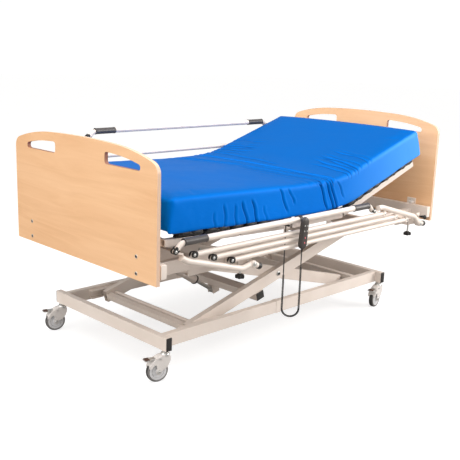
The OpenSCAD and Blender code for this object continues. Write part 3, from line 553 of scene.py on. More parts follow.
def mattress_grid():
    """A rounded block on a regular grid, bent along the path. Returns vertices, faces and (s, y, n) of each."""
    path = mattress_path()
    runs = [0.0]
    for a, b in zip(path, path[1:]):
        runs.append(runs[-1] + (b - a).length)
    length = runs[-1]
    px = np.array([p.x for p in path])
    pz = np.array([p.y for p in path])
    size = (length, 2 * MATTRESS_HALF, MATTRESS_T)
    counts = [max(6, round(s / CELL)) for s in size]
    low_radius, high_radius = 0.009, 0.024

    index, params, faces = {}, [], []

    def vertex(i, j, k):
        key = (i, j, k)
        if key not in index:
            index[key] = len(params)
            params.append((i / counts[0], j / counts[1], k / counts[2]))
        return index[key]

    for axis in range(3):
        u, w = (axis + 1) % 3, (axis + 2) % 3
        for end in (0, counts[axis]):
            for i in range(counts[u]):
                for j in range(counts[w]):
                    ring = []
                    for du, dw in ((0, 0), (1, 0), (1, 1), (0, 1)):
                        key = [0, 0, 0]
                        key[axis], key[u], key[w] = end, i + du, j + dw
                        ring.append(vertex(*key))
                    faces.append(tuple(ring if end else reversed(ring)))
    unit = np.array(params)
    half = np.array(size) / 2
    flat = (unit * 2 - 1) * half
    upper = np.clip((flat[:, 2:] / half[2] + 0.6) / 1.2, 0, 1)
    radius = low_radius + (high_radius - low_radius) * upper
    core = np.clip(flat, -(half - radius), half - radius)
    out = flat - core
    reach = np.linalg.norm(out, axis=1, keepdims=True)
    flat = core + np.where(reach > 1e-9, out / np.maximum(reach, 1e-9) * radius, 0)
    s = flat[:, 0] + size[0] / 2
    n = flat[:, 2] + size[2] / 2
    x = np.interp(s, runs, px)
    z = np.interp(s, runs, pz)
    step = 0.02
    dx = np.interp(s + step, runs, px) - np.interp(s - step, runs, px)
    dz = np.interp(s + step, runs, pz) - np.interp(s - step, runs, pz)
    norm = np.hypot(dx, dz)
    dx, dz = dx / norm, dz / norm
    verts = np.stack([x - dz * n, flat[:, 1], z + dx * n], 1)
    return verts, faces, np.stack([s, flat[:, 1], n], 1), np.stack([-dz, 0 * dz, dx], 1), np.stack([dx, 0 * dx, dz], 1)


def groove(distance, width):
    """A smooth valley across distance 0."""
    return np.exp(-(distance / width) ** 2)


def window(value, start, end, soft):
    """1 between start and end, falling to 0 over soft outside them."""
    rise = np.clip((value - start + soft) / soft, 0, 1)
    fall = np.clip((end + soft - value) / soft, 0, 1)
    return rise * rise * (3 - 2 * rise) * fall * fall * (3 - 2 * fall)


def sculpt_creases(verts, coords, up):
    """Presses the folds of the hip and the fine wrinkles of the sides into the cover, and returns the painted shade
    along them.
    """
    y, n = coords[:, 1], coords[:, 2]
    x = verts[:, 0]
    top = np.clip((n / MATTRESS_T - 0.72) / 0.2, 0, 1)
    # Two deep folds run right across the hip, with a soft roll between them
    depth = np.zeros(len(verts))
    # shade is painted shade for the material, darkest along the folds and wrinkles
    shade = np.zeros(len(verts))
    wave = 0.006 * np.sin(y * 9 + 0.6) + 0.003 * np.sin(y * 23)
    folds = [
        (0.012 - 0.19 * np.clip(y - 0.02, 0, 1) + wave, 0.0125, 0.0075, -0.62, 0.38),
        (0.108 + 0.01 * y + wave * 0.7, 0.0085, 0.010, -0.62, 0.45),
        (0.175 + 0.09 * np.clip(y, 0, 1) + wave, 0.010, 0.004, 0.00, 0.50),
        (0.055 - 0.05 * y - wave * 0.6, 0.011, 0.0035, -0.45, 0.10),
        (-0.045 - 0.05 * y + wave, 0.014, 0.0026, -0.52, -0.10),
        (-0.085 - 0.02 * y + wave, 0.014, 0.0018, -0.52, -0.22),
    ]
    for centre, width, deep, y0, y1 in folds:
        distance = x - centre
        depth -= deep * groove(distance, width) * window(y, y0, y1, 0.16)
        shade = np.maximum(shade, deep / 0.009 * groove(distance, width * 0.6) * window(y, y0, y1, 0.16) * top)
        depth += 0.42 * deep * groove(np.abs(distance) - width * 2.1, width) * window(y, y0, y1, 0.16)
    # Short pulls fan out over the lower back from the near edge, and from the far edge
    pulls = [(0.232, 0.10, 0.0035), (0.262, 0.16, 0.0042), (0.290, 0.19, 0.0034), (0.315, 0.17, 0.0046),
             (0.345, 0.14, 0.0024), (0.402, 0.12, 0.0030), (0.425, 0.10, 0.0018)]
    for side in (-1, 1):
        for at, slope, deep in pulls:
            inward = MATTRESS_HALF - side * y
            centre = at + slope * inward * (1.0 if side < 0 else 0.7) + 0.004 * np.sin(inward * 31 + at * 90)
            reach = window(inward, 0.02, 0.16 + 0.3 * slope, 0.12)
            depth -= (1.3 if side < 0 else 0.7) * deep * groove(x - centre, 0.0065) * reach
            shade = np.maximum(shade, deep / 0.007 * groove(x - centre, 0.005) * reach * top)
            depth += 0.5 * deep * groove(x - centre - 0.015, 0.009) * reach
    verts = verts + up * (depth * top)[:, None]

    # Fine upright wrinkles of the two long sides: (x at the top, z at the top, x at the foot, z at the foot, depth)
    pleats = [(-0.645, 0.763, -0.636, 0.690, 0.0030), (-0.580, 0.755, -0.568, 0.689, 0.0028),
              (-0.530, 0.762, -0.499, 0.688, 0.0040), (-0.466, 0.763, -0.437, 0.689, 0.0044),
              (-0.707, 0.741, -0.699, 0.694, 0.0022), (-0.395, 0.735, -0.375, 0.690, 0.0018),
              (-0.282, 0.798, -0.243, 0.723, 0.0036), (-0.222, 0.794, -0.190, 0.744, 0.0028),
              (0.009, 0.796, 0.057, 0.705, 0.0048), (0.063, 0.799, 0.113, 0.693, 0.0054),
              (0.090, 0.797, 0.146, 0.685, 0.0050), (0.151, 0.794, 0.190, 0.736, 0.0030)]
    z = verts[:, 2]
    for side in (-1, 1):
        face = np.clip((side * y - MATTRESS_HALF + 0.030) / 0.012, 0, 1)
        shift = 0.0 if side < 0 else 0.045
        press = np.zeros(len(verts))
        for x0, z0, x1, z1, deep in pleats:
            t = (z0 - z) / (z0 - z1)
            line = x0 + shift + (x1 - x0) * t + 0.003 * np.sin(t * 5 + x0 * 40)
            reach = window(t, 0.0, 1.1, 0.35)
            press -= 1.35 * deep * groove(x - line, 0.0052) * reach
            shade = np.maximum(shade, deep / 0.0065 * groove(x - line, 0.0042) * reach * face)
            press += 0.55 * deep * groove(x - line - 0.0125, 0.007) * reach
        verts[:, 1] += side * press * face
    # The cover hangs a little over the slat holders along both sides
    lip = np.clip((np.abs(y) - 0.502) / 0.012, 0, 1)
    drop = 0.0022 + 0.0085 * lip * lip * (3 - 2 * lip) + 0.0015 * np.sin(coords[:, 0] * 21) * lip
    rim = np.clip((np.abs(y) - 0.44) / 0.03, 0, 1) * np.clip(1 - n / (0.5 * MATTRESS_T), 0, 1)
    verts = verts - up * (drop * rim)[:, None]
    return verts, shade


def build_mattress():
    verts, faces, coords, up, along = mattress_grid()
    work = mesh_object("mattress_work", verts, faces, BLUE)
    rest = verts.copy()
    moved = rest.copy()
    cloth = work.modifiers.new("cloth", "CLOTH")
    cloth.settings.use_pressure = True
    cloth.settings.uniform_pressure_force = 4.0
    cloth.settings.effector_weights.gravity = 0
    cloth.settings.quality = 4
    cloth.point_cache.frame_start = 1
    cloth.point_cache.frame_end = 20
    scene = bpy.context.scene
    for step in range(1, 21):
        scene.frame_set(step)
    graph = bpy.context.evaluated_depsgraph_get()
    swollen = work.evaluated_get(graph).to_mesh()
    moved = np.empty(len(swollen.vertices) * 3)
    swollen.vertices.foreach_get("co", moved)
    moved = moved.reshape(-1, 3)
    scene.frame_set(1)
    work.modifiers.clear()
    # Cap the swelling; the underside stays flat on the slats
    delta = moved - rest
    size = np.linalg.norm(delta, axis=1, keepdims=True)
    cap = 0.007
    delta = delta * np.minimum(1, cap / np.maximum(size, 1e-9))
    height = coords[:, 2] / MATTRESS_T
    lift = (delta * up).sum(1)
    keep_flat = np.where((height < 0.3) & (lift < 0), lift, 0)
    delta = delta - up * keep_flat[:, None]
    verts = rest + delta
    # A crowned top
    crown = (1 - (coords[:, 1] / MATTRESS_HALF) ** 2) * np.clip(height * 2 - 1, 0, 1)
    verts = verts + up * (0.006 * crown)[:, None]
    work.data.vertices.foreach_set("co", verts.ravel())
    work.data.update()

    finer = work.modifiers.new("finer", "SUBSURF")
    finer.levels = finer.render_levels = 1
    # The same subdivision carries the coordinates of each vertex along
    for name, data in (("s", coords[:, 0]), ("y", coords[:, 1]), ("n", coords[:, 2]),
                       ("ux", up[:, 0]), ("uz", up[:, 2])):
        attribute = work.data.attributes.new(name, "FLOAT", "POINT")
        attribute.data.foreach_set("value", data.astype(np.float32))
    apply_modifiers(work)
    mesh = work.data
    count = len(mesh.vertices)

    def column(name):
        values = np.empty(count, np.float32)
        mesh.attributes[name].data.foreach_get("value", values)
        return values.astype(float)

    co = np.empty(count * 3)
    mesh.vertices.foreach_get("co", co)
    co = co.reshape(-1, 3)
    fine = np.stack([column("s"), column("y"), column("n")], 1)
    lift = np.stack([column("ux"), np.zeros(count), column("uz")], 1)
    co, shade = sculpt_creases(co, fine, lift)
    mesh.vertices.foreach_set("co", co.ravel())
    mesh.update()
    for name in ("s", "y", "n", "ux", "uz"):
        mesh.attributes.remove(mesh.attributes[name])
    mesh.polygons.foreach_set("use_smooth", [True] * len(mesh.polygons))
    normals = np.empty(count * 3)
    mesh.vertices.foreach_get("normal", normals)
    normals = normals.reshape(-1, 3)
    split_mattress(mesh, co, fine, normals, shade)
    bpy.data.objects.remove(work)


def split_mattress(mesh, co, coords, normals, shade):
    """Cuts the mattress into three parts where it is rigid."""
    seat_s = coords[np.argmin(np.abs(co[:, 0] - SEAT_MID) + coords[:, 2] * 10), 0]
    thigh_mid = (THIGH_HINGE.x + KNEE_HINGE.x) / 2
    thigh_s = coords[np.argmin(np.abs(co[:, 0] - thigh_mid) + coords[:, 2] * 10), 0]
    loops = [tuple(p.vertices) for p in mesh.polygons]
    centre = np.array([coords[list(f), 0].mean() for f in loops])
    reach = 0.13
    spans = [
        ("mattress_foot", centre < thigh_s, "thigh_section", "calf_section", KNEE_HINGE, -1, reach,
         ("mattress_calf",)),
        ("mattress_middle", (centre >= thigh_s) & (centre < seat_s), "upper_frame", "thigh_section",
         THIGH_HINGE, -1, reach, ("mattress_thigh",)),
        ("mattress_head", centre >= seat_s, "upper_frame", "backrest", BACK_HINGE, 1, 0.17,
         ("mattress_back", "mattress_seat")),
    ]
    for name, chosen, a, b, hinge, way, reach, instead in spans:
        picked = [f for f, c in zip(loops, chosen) if c]
        used = sorted({i for f in picked for i in f})
        renumber = {old: new for new, old in enumerate(used)}
        part = mesh_object(name, co[used], [tuple(renumber[i] for i in f) for f in picked], BLUE)
        part.data.normals_split_custom_set_from_vertices([tuple(v) for v in normals[used]])
        # The folds' painted shade goes to the material as the fold attribute.
        fold = part.data.attributes.new("fold", "FLOAT", "POINT")
        fold.data.foreach_set("value", np.clip(shade[used], 0, 1).astype(np.float32))
        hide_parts(*instead)
        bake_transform(part)


# ---------------------------------------------------------------- end boards

def dress_boards():
    for name in ("footboard", "headboard"):
        board = NODES[name]
        board.data.materials.clear()
        board.data.materials.append(BEECH)
        bevelled(board, 0.0068, 4, 60)


def build_board_bolts():
    """Small dark screws in bright cup washers on the outer faces, nuts on the upper ones' inner ends."""
    rings, heads = [], []
    for sx in (-1, 1):
        out = Vector((sx, 0, 0))
        for y in (-0.408, 0.408):
            for z in (0.517, 0.590):
                centre = Vector((sx * 1.040, y, z))
                cup = [(0.0060, 0.0004), (0.0064, 0.0014), (0.0074, 0.0017), (0.0086, 0.0010), (0.0088, 0.0)]
                rings.append(lathe(cup, out, centre, 32))
                head = [(0, 0.0010), (0.0022, 0.0010), (0.0025, 0.0026), (0.0042, 0.0024), (0.0058, 0.0014),
                        (0.0062, 0.0002)]
                heads.append(lathe(head, out, centre, 28))
                rings.append(lathe([(0.0039, -0.0245), (0.0039, -0.001)], out, centre, 16))
                if z > 0.55:
                    rings.append(hexagon(0.013, 0.005, Vector((sx * 1.0150, y, z)), -out))
    finish(joined("board_washers", rings, ZINC), "upper_frame", "zinc_steel", "board_fixings")
    finish(joined("board_screws", heads, DARK_STEEL), "upper_frame", "zinc_steel")


# ---------------------------------------------------------------- sleeping surface

SLAT_W = 0.054
SLAT_T = 0.008
SLAT_HALF = 0.480
SLAT_CROWN = 0.006
SLAT_Z = 0.045
SLAT_PITCH = 0.066

SURFACES = {
    # section: (body, hinge, angle of the slat plane, direction, middles of the pairs, places of the single slats)
    "back": ("backrest", BACK_HINGE, BACK, 1, (0.115, 0.271, 0.427, 0.583), ()),
    "seat": ("upper_frame", THIGH_HINGE, 0.0, 1, (0.103, 0.259), ()),
    "thigh": ("thigh_section", THIGH_HINGE, LEGS, -1, (0.195,), (0.070, 0.312)),
    "calf": ("calf_section", KNEE_HINGE, LEGS, -1, (0.172, 0.329), (0.050,)),
}


def build_slats():
    for name, (body, hinge, angle, way, pairs, singles) in SURFACES.items():
        along = Vector((way * math.cos(angle), 0, math.sin(angle)))
        up = Vector((-way * math.sin(angle), 0, math.cos(angle)))
        slats, cups = [], []
        places = [x + s * SLAT_PITCH / 2 for x in pairs for s in (-1, 1)] + list(singles)
        for place_of in places:
            middle = hinge + along * place_of
            verts, faces = [], []
            spans, ring = 24, []
            round_edge = [(-0.5, 0.25), (-0.47, 0.0), (0.47, 0.0), (0.5, 0.25), (0.5, 0.75), (0.47, 1.0),
                          (-0.47, 1.0), (-0.5, 0.75)]
            for j in range(spans + 1):
                y = SLAT_HALF * (2 * j / spans - 1)
                lift = SLAT_Z - SLAT_T + SLAT_CROWN * (1 - (y / SLAT_HALF) ** 2)
                for u, w in round_edge:
                    verts.append(middle + Vector((0, y, 0)) + along * u * SLAT_W + up * (lift + w * SLAT_T))
            m = len(round_edge)
            for j in range(spans):
                for k in range(m):
                    after = (k + 1) % m
                    faces.append((j * m + k, j * m + after, (j + 1) * m + after, (j + 1) * m + k))
            faces.append(tuple(range(m)))
            faces.append(tuple(range(spans * m, spans * m + m)))
            slats.append((verts, faces))
        for side in (-1, 1):
            for x in pairs:
                cups += holder(hinge + along * x, along, up, side, (-SLAT_PITCH / 2, SLAT_PITCH / 2))
            for x in singles:
                cups += holder(hinge + along * x, along, up, side, (0,))
        replaced = f"{name}_slats"
        finish(joined(f"{name}_ply_slats", slats, SLAT), body, "slat_wood", replaced)
        finish(joined(f"{name}_slat_cups", cups, RUBBER), body, "black_rubber")


def holder(middle, along, up, side, slats):
    """A rubber holder: a foot on the tube and a rounded cup with an oval mouth round each slat's end."""
    turn = Matrix((along, Vector((0, side, 0)), up)).transposed()
    if turn.determinant() < 0:
        turn = Matrix((-along, Vector((0, side, 0)), up)).transposed()
    parts = []

    def block(u, w, z, size, radius=0.002):
        centre = middle + along * u + Vector((0, side * w, 0)) + up * z
        parts.append(rounded_box(size, radius, centre, turn, 3))

    half = 0.075 if len(slats) > 1 else 0.033
    block(0, 0.470, 0.0195, (2 * half - 0.016, 0.024, 0.010), 0.0025)
    block(0, 0.479, 0.0310, (2 * half - 0.012, 0.048, 0.011), 0.005)
    for u in slats:
        block(u, 0.479, 0.0365, (0.066, 0.053, 0.0245), 0.0105)
        # The mouth: a raised oval lip round a hollow at the outer end
        lip = lathe([(0.0205, 0.0), (0.0230, 0.0), (0.0232, 0.0022), (0.0215, 0.0030), (0.0200, 0.0022),
                     (0.0192, -0.004), (0, -0.004)], Vector((0, 0, 1)), Vector((0, 0, 0)), 36)
        centre = middle + along * u + Vector((0, side * 0.5040, 0)) + up * 0.0365
        parts.append(([centre + along * v.x + up * (v.y * 0.40) + Vector((0, side * v.z, 0)) for v in lip[0]], lip[1]))
    return parts


# ---------------------------------------------------------------- side rails

POST_LEN = 0.480
POST_OFFSET = 0.030
BAR_AT = {"bar_2": 0.374, "bar_3": 0.259, "bar_4": 0.143}
TUBE_R = 0.014
BAR_R = 0.012
ELBOW = (0.040, 0.032)
POST_GAP = place("near_head_post_swing").x - place("guard_left_fold").x
RAILS = {"near": ("guard_left_fold", math.radians(15.7)), "far": ("guard_right_fold", math.radians(73.5))}


def build_posts():
    for side, (drive, lean) in RAILS.items():
        for end in ("foot", "head"):
            root = place(drive) if end == "foot" else place(f"{side}_head_post_swing")
            along = Vector((-math.cos(lean), 0, math.sin(lean)))
            bend = Vector((-math.sin(lean), 0, -math.cos(lean))) * (1 if end == "foot" else -1)
            y = Vector((0, 1, 0))

            def at(u, w):
                return root + along * u + bend * w
            path = filleted([at(-0.034, 0.004), at(0, 0), at(0.062, POST_OFFSET), at(POST_LEN - 0.080, POST_OFFSET),
                             at(POST_LEN - 0.043, 0.021)], 0.05)
            parts = [sweep(path, TUBE_R, 24)]
            parts.append(lathe(rounded_profile(TUBE_R + 0.002, 0.032, 0.002, -0.016), y, root))
            for u in (*BAR_AT.values(), POST_LEN):
                low = POST_OFFSET - 0.008 if u < POST_LEN else 0.0
                if u < POST_LEN:
                    outline = [(p[0], -p[1]) for p in arc(0, 0, 0.009, 180, 0, 10)] + [(0.011, low), (-0.011, low)]
                else:
                    outline = arc(0, 0, 0.009, 90, -90, 10) + [
                        (-0.024, -0.009), (-0.024, 0.0), (-0.050, 0.0), (-0.050, 0.009)]
                parts.append(plate(outline, 0.006, root + along * u, along, bend, y))
            finish(joined(f"{side}_{end}_post_tube", parts, CREAM), f"{side}_{end}_post", "cream_steel",
                   f"{side}_{end}_post")
            tail = (at(-0.034, 0.004) - at(0, 0)).normalized()
            cap = lathe(rounded_profile(TUBE_R + 0.0015, 0.024, 0.005), tail, at(-0.034, 0.004))
            finish(joined(f"{side}_{end}_post_cap", [cap], BLACK), f"{side}_{end}_post", "black_rubber")
            # Rivets through the tabs
            rivets = []
            for u in (*BAR_AT.values(), POST_LEN):
                for s in (-1, 1):
                    centre = root + along * u + y * (s * 0.003)
                    rivets.append(lathe([(0.0075, 0), (0.0075, 0.0006), (0.0045, 0.0008)], y * s, centre, 20))
            finish(joined(f"{side}_{end}_post_washers", rivets, ZINC), f"{side}_{end}_post", "zinc_steel")


def end_fitting(centre, way, radius):
    """A bar's end: two rounded cheeks round the post's tab, and a short collar against the tube."""
    x, z, y = Vector((way, 0, 0)), Vector((0, 0, 1)), Vector((0, 1, 0))
    outline = arc(0, 0, radius + 0.0006, 90, 270, 16) + [(0.016, -radius), (0.016, radius)]
    parts = [plate(outline, 0.0085, centre + y * (s * 0.0082), x, z, y) for s in (-1, 1)]
    collar = [(radius * 0.4, 0.0145), (radius, 0.0145), (radius + 0.0004, 0.0155), (radius + 0.0004, 0.0185),
              (radius, 0.0195), (radius * 0.4, 0.0195)]
    parts.append(lathe(collar, x, centre, 28))
    return parts


def build_bars():
    """Round bars with a black end fitting at the foot end and a painted one at the head end."""
    x = Vector((1, 0, 0))
    for side in RAILS:
        for bar in BAR_AT:
            start = place(f"{side}_{bar}_level")
            end = start + x * POST_GAP
            body = f"{side}_{bar}"
            tube = sweep([start + x * 0.0185, start + x * 0.020, end - x * 0.020, end - x * 0.0185], BAR_R - 0.0002, 28)
            finish(joined(f"{side}_{bar}_tube", [tube] + end_fitting(end, -1, BAR_R), CREAM), body, "cream_steel",
                   f"{side}_rail_{bar}")
            finish(joined(f"{side}_{bar}_end", end_fitting(start, 1, BAR_R), BLACK), body, "black_rubber")
            finish(joined(f"{side}_{bar}_rivets", rivet_heads((start, end), BAR_R), ZINC), body, "zinc_steel")
            # Painted shade: a thin black strip on each cheek's outer face stands in for the shaded slot.
            slot_shade_strips = []
            for s in (-1, 1):
                turn = Matrix.Rotation(math.radians(20), 3, "Y")
                slot_shade_strips.append(rounded_box((0.0016, 0.0012, 0.0150), 0.0005, end + Vector((0, s * (BAR_R + 0.0016), 0)),
                                         turn, 2))
            finish(joined(f"{side}_{bar}_slots", slot_shade_strips, BLACK), body, "black_rubber")


def rivet_heads(centres, radius):
    """Pins with domed heads on both faces of the fork."""
    parts = []
    for centre in centres:
        for s in (-1, 1):
            axis = Vector((0, s, 0))
            head = [(0.004, 0.0), (0.0068, 0.0), (0.0068, 0.0006), (0.0058, 0.0016), (0.0035, 0.0022), (0, 0.0024)]
            parts.append(lathe(head, axis, centre + axis * (radius - 0.0004), 20))
        parts.append(lathe([(0.0039, -radius), (0.0039, radius)], Vector((0, 1, 0)), centre, 16))
    return parts


def build_handrails():
    for side in RAILS:
        start = place(f"{side}_handrail_level")
        body = f"{side}_handrail"
        lift = Vector((0, 0, ELBOW[1]))
        x, y, z = Vector((1, 0, 0)), Vector((0, 1, 0)), Vector((0, 0, 1))
        elbows, joints, grips = [], [], []
        for way, tip in ((1, start), (-1, start + x * POST_GAP)):
            run = Vector((way, 0, 0))
            path = filleted([tip + run * 0.012 + z * 0.006, tip + run * 0.036 + z * 0.028,
                             tip + run * 0.062 + z * ELBOW[1]], 0.03)
            elbows.append(sweep(path, BAR_R, 24))
            turn = (run * 0.8 + z * 0.6).normalized()
            side_up = y.cross(turn).normalized()
            outline = arc(0, 0, BAR_R, 90, 270, 12) + [(0.018, -BAR_R), (0.018, BAR_R)]
            for s in (-1, 1):
                joints.append(plate(outline, 0.0075, tip + y * (s * 0.00785), turn, side_up, y))
            grip_from = tip + run * (ELBOW[0] + 0.008) + lift
            grips.append(lathe(grip_profile(0.128), run, grip_from, 32))
        tube = sweep([start + x * (ELBOW[0] + 0.008) + lift, start + x * (POST_GAP - ELBOW[0] - 0.008) + lift],
                     TUBE_R, 32)
        finish(joined(f"{side}_handrail_tube", [tube] + elbows, CREAM), body, "cream_steel", f"{side}_handrail")
        finish(joined(f"{side}_handrail_forks", joints, BLACK), body, "black_rubber")
        finish(joined(f"{side}_handrail_grips", grips, GREY, 50), body, "grey_plastic")
        finish(joined(f"{side}_handrail_rivets", rivet_heads((start, start + x * POST_GAP), BAR_R), ZINC), body,
               "zinc_steel")


def grip_profile(length):
    """A soft sleeve: a rolled lip at each end and faint finger rings between."""
    r = 0.0160
    points = [(TUBE_R, 0.0), (r + 0.0002, 0.0), (r + 0.0012, 0.0012), (r + 0.0012, 0.0045), (r, 0.006)]
    rings = 14
    for i in range(rings):
        at = 0.010 + (length - 0.020) * i / (rings - 1)
        points += [(r, at - 0.0022), (r + 0.0004, at), (r, at + 0.0022)]
    points += [(r, length - 0.006), (r + 0.0012, length - 0.0045), (r + 0.0012, length - 0.0012),
               (r + 0.0002, length), (TUBE_R, length)]
    return points


def build_clamps():
    """Brackets that hold the posts' roots to the side beams, with root bolts and star knobs."""
    x, y, z = Vector((1, 0, 0)), Vector((0, 1, 0)), Vector((0, 0, 1))
    brackets, bolts, knobs = [], [], []
    for side, sign in SIDES.items():
        for root in (place("guard_left_fold" if sign < 0 else "guard_right_fold"), place(f"{side}_head_post_swing")):
            cx = root.x - 0.021
            brackets.append(rounded_box((0.090, 0.088, 0.005), 0.0015, (cx, sign * 0.474, 0.5175)))
            brackets.append(rounded_box((0.090, 0.005, 0.034), 0.0015, (cx, sign * 0.5155, 0.503)))
            for end in (-1, 1):
                brackets.append(rounded_box((0.005, 0.088, 0.034), 0.0015, (cx + end * 0.0425, sign * 0.474, 0.503)))
            brackets.append(rounded_box((0.090, 0.004, 0.050), 0.0012, (cx, sign * 0.432, 0.494)))
            out = y * sign
            bolts.append(lathe([(0.006, 0), (0.006, 0.051)], out, Vector((root.x, sign * 0.514, root.z)), 20))
            bolts.append(lathe(rounded_profile(0.0110, 0.0022, 0.0008), out, Vector((root.x, sign * 0.562, root.z)), 28))
            bolts.append(hexagon(0.013, 0.0055, Vector((root.x, sign * 0.5640, root.z)), out))
            stem = Vector((root.x - 0.022, sign * 0.492, 0))
            bolts.append(lathe([(0.005, 0.432), (0.005, 0.516)], z, stem, 20))
            bolts.append(lathe(rounded_profile(0.009, 0.0016, 0.0005, 0.4835), z, stem, 24))
            knobs.append(star_knob(stem + z * 0.418))
    carrier = []
    for side, sign in SIDES.items():
        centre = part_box(f"{side}_latch")
        cx = (centre[0].x + centre[1].x) / 2
        cz = (centre[0].z + centre[1].z) / 2
        carrier.append(rounded_box((0.034, 0.006, 0.060), 0.0015, (cx + 0.005, sign * 0.515, 0.516)))
        carrier.append(lathe([(0.0056, 0), (0.010, 0), (0.010, 0.010), (0.0085, 0.012), (0.0056, 0.012)],
                             y * sign, Vector((cx, sign * 0.518, cz)), 28))
    finish(joined("rail_clamp_brackets", brackets + carrier, CREAM), "upper_frame", "cream_steel", "rail_clamps")
    finish(joined("rail_clamp_bolts", bolts, ZINC), "upper_frame", "zinc_steel")
    finish(joined("rail_clamp_knobs", knobs, BLACK), "upper_frame", "black_rubber")


def star_knob(base):
    """A five-lobed knob with a domed hub."""
    verts, faces = [], []
    n = 72
    levels = [(0.0, 0.86), (0.0018, 0.98), (0.004, 1.0), (0.014, 1.0), (0.0165, 0.95), (0.018, 0.80)]
    for h, scale in levels:
        for k in range(n):
            a = 2 * math.pi * k / n
            r = (0.0192 + 0.0034 * math.cos(5 * a)) * scale
            verts.append(base + Vector((r * math.cos(a), r * math.sin(a), h)))
    for i in range(len(levels) - 1):
        for k in range(n):
            after = (k + 1) % n
            faces.append((i * n + k, i * n + after, (i + 1) * n + after, (i + 1) * n + k))
    faces.append(tuple(range(n)))
    faces.append(tuple(range(len(verts) - n, len(verts))))
    hub = lathe(rounded_profile(0.010, 0.022, 0.002), Vector((0, 0, 1)), base, 28)
    return verts + hub[0], faces + [tuple(i + len(verts) for i in f) for f in hub[1]]


def build_latches():
    for side, sign in SIDES.items():
        low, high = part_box(f"{side}_latch")
        centre = Vector(((low.x + high.x) / 2, sign * 0.512, (low.z + high.z) / 2))
        ball = []
        for i in range(17):
            a = math.pi * i / 16
            ball.append((max(0.0, 0.012 * math.sin(a)), 0.053 - 0.012 * math.cos(a)))
        neck = [(0, -0.004), (0.005, -0.004), (0.005, 0.032), (0.0075, 0.034), (0.0075, 0.042)]
        knob = lathe(ball[3:], Vector((0, sign, 0)), centre, 32)
        stem = lathe(neck, Vector((0, sign, 0)), centre, 28)
        finish(joined(f"{side}_latch_knob", [knob, stem], BLACK, 40), f"{side}_latch", "black_rubber",
               f"{side}_latch")


# ---------------------------------------------------------------- castors

def castor_frame(name):
    """Swivel point on the floor, trail direction and side direction of a castor."""
    swivel = place(f"swivel_{name}")
    axle = place(f"wheel_{name}")
    trail = Vector((axle.x - swivel.x, axle.y - swivel.y, 0))
    trail.normalize()
    return Vector((swivel.x, swivel.y, 0)), trail, Vector((-trail.y, trail.x, 0))


def build_castors():
    z = Vector((0, 0, 1))
    for name in CASTORS:
        floor, trail, side = castor_frame(name)
        axle = place(f"wheel_{name}")
        body = f"fork_{name}"

        def at(u, h, w=0.0):
            """u forwards from the swivel axis, h above the floor, w to the side."""
            return floor - trail * u + z * h + side * w

        # Pressed cover: two cheeks joined over the wheel by a curved crown
        outline = cover_outline()
        cheek = 0.0225
        parts = []
        for s in (-1, 1):
            verts, faces = [], []
            n = len(outline)
            for w in (s * (cheek - 0.0026), s * cheek):
                for u, h in outline:
                    inward = 0.003 * max(0.0, min(1.0, (h - 0.095) / 0.02))
                    verts.append(at(u, h, w - s * inward))
            faces.append(tuple(range(n)))
            faces.append(tuple(range(n, 2 * n)))
            faces += [(i, (i + 1) % n, n + (i + 1) % n, n + i) for i in range(n)]
            parts.append((verts, faces))
        parts.append(crown_sheet(at, cheek))
        cover = joined(f"castor_cover_{name}", parts, CASTOR_STEEL, 40)
        bevelled(cover, 0.0007, 2, 50)
        finish(cover, body, "cream_steel", f"castor_fork_{name}")
        # Swivel head and stem
        bolts = [lathe([(0.0, 0.117), (0.021, 0.117), (0.0215, 0.119), (0.0205, 0.1235), (0.0185, 0.1275),
                        (0.0165, 0.1290), (0.0165, 0.1315), (0.0135, 0.1325), (0.0135, 0.1375), (0, 0.1375)],
                       z, floor, 40)]
        for s in (-1, 1):
            outside = axle + side * (s * cheek)
            bolts.append(lathe([(0.0, 0.0022), (0.0030, 0.0022), (0.0032, 0.0038), (0.0062, 0.0038), (0.0074, 0.0026),
                                (0.0074, 0.0008), (0.0092, 0.0008), (0.0092, 0.0)], side * s, outside, 28))
        bolts.append(lathe([(0.005, -cheek), (0.005, cheek)], side, axle, 20))
        pivot = place(f"pedal_{name}")
        bolts.append(lathe([(0.004, -cheek - 0.001), (0.004, cheek + 0.001)], side, pivot, 20))
        finish(joined(f"castor_bolts_{name}", bolts, ZINC), body, "zinc_steel")
        build_wheel(name, axle, side)
        build_pedal(name, pivot, trail, side)


def cover_outline():
    """Side view of a castor's cover, (forwards, height): a shield whose tongue reaches the axle."""
    tongue = [(-0.0470, 0.0700)] + arc(-0.038, 0.050, 0.0125, 160, 372, 14)
    front = [(-0.004, 0.062), (0.010, 0.080), (0.0175, 0.098), (0.0195, 0.112)]
    top = [(0.0165, 0.1195), (0.008, 0.1225), (-0.010, 0.1235), (-0.030, 0.1200), (-0.050, 0.1105), (-0.068, 0.0955),
           (-0.079, 0.080)]
    back = [(-0.081, 0.070), (-0.0765, 0.0665), (-0.0700, 0.0705), (-0.064, 0.0775), (-0.0570, 0.0835),
            (-0.0505, 0.0835), (-0.0475, 0.0780)]
    return tongue + front + top + back


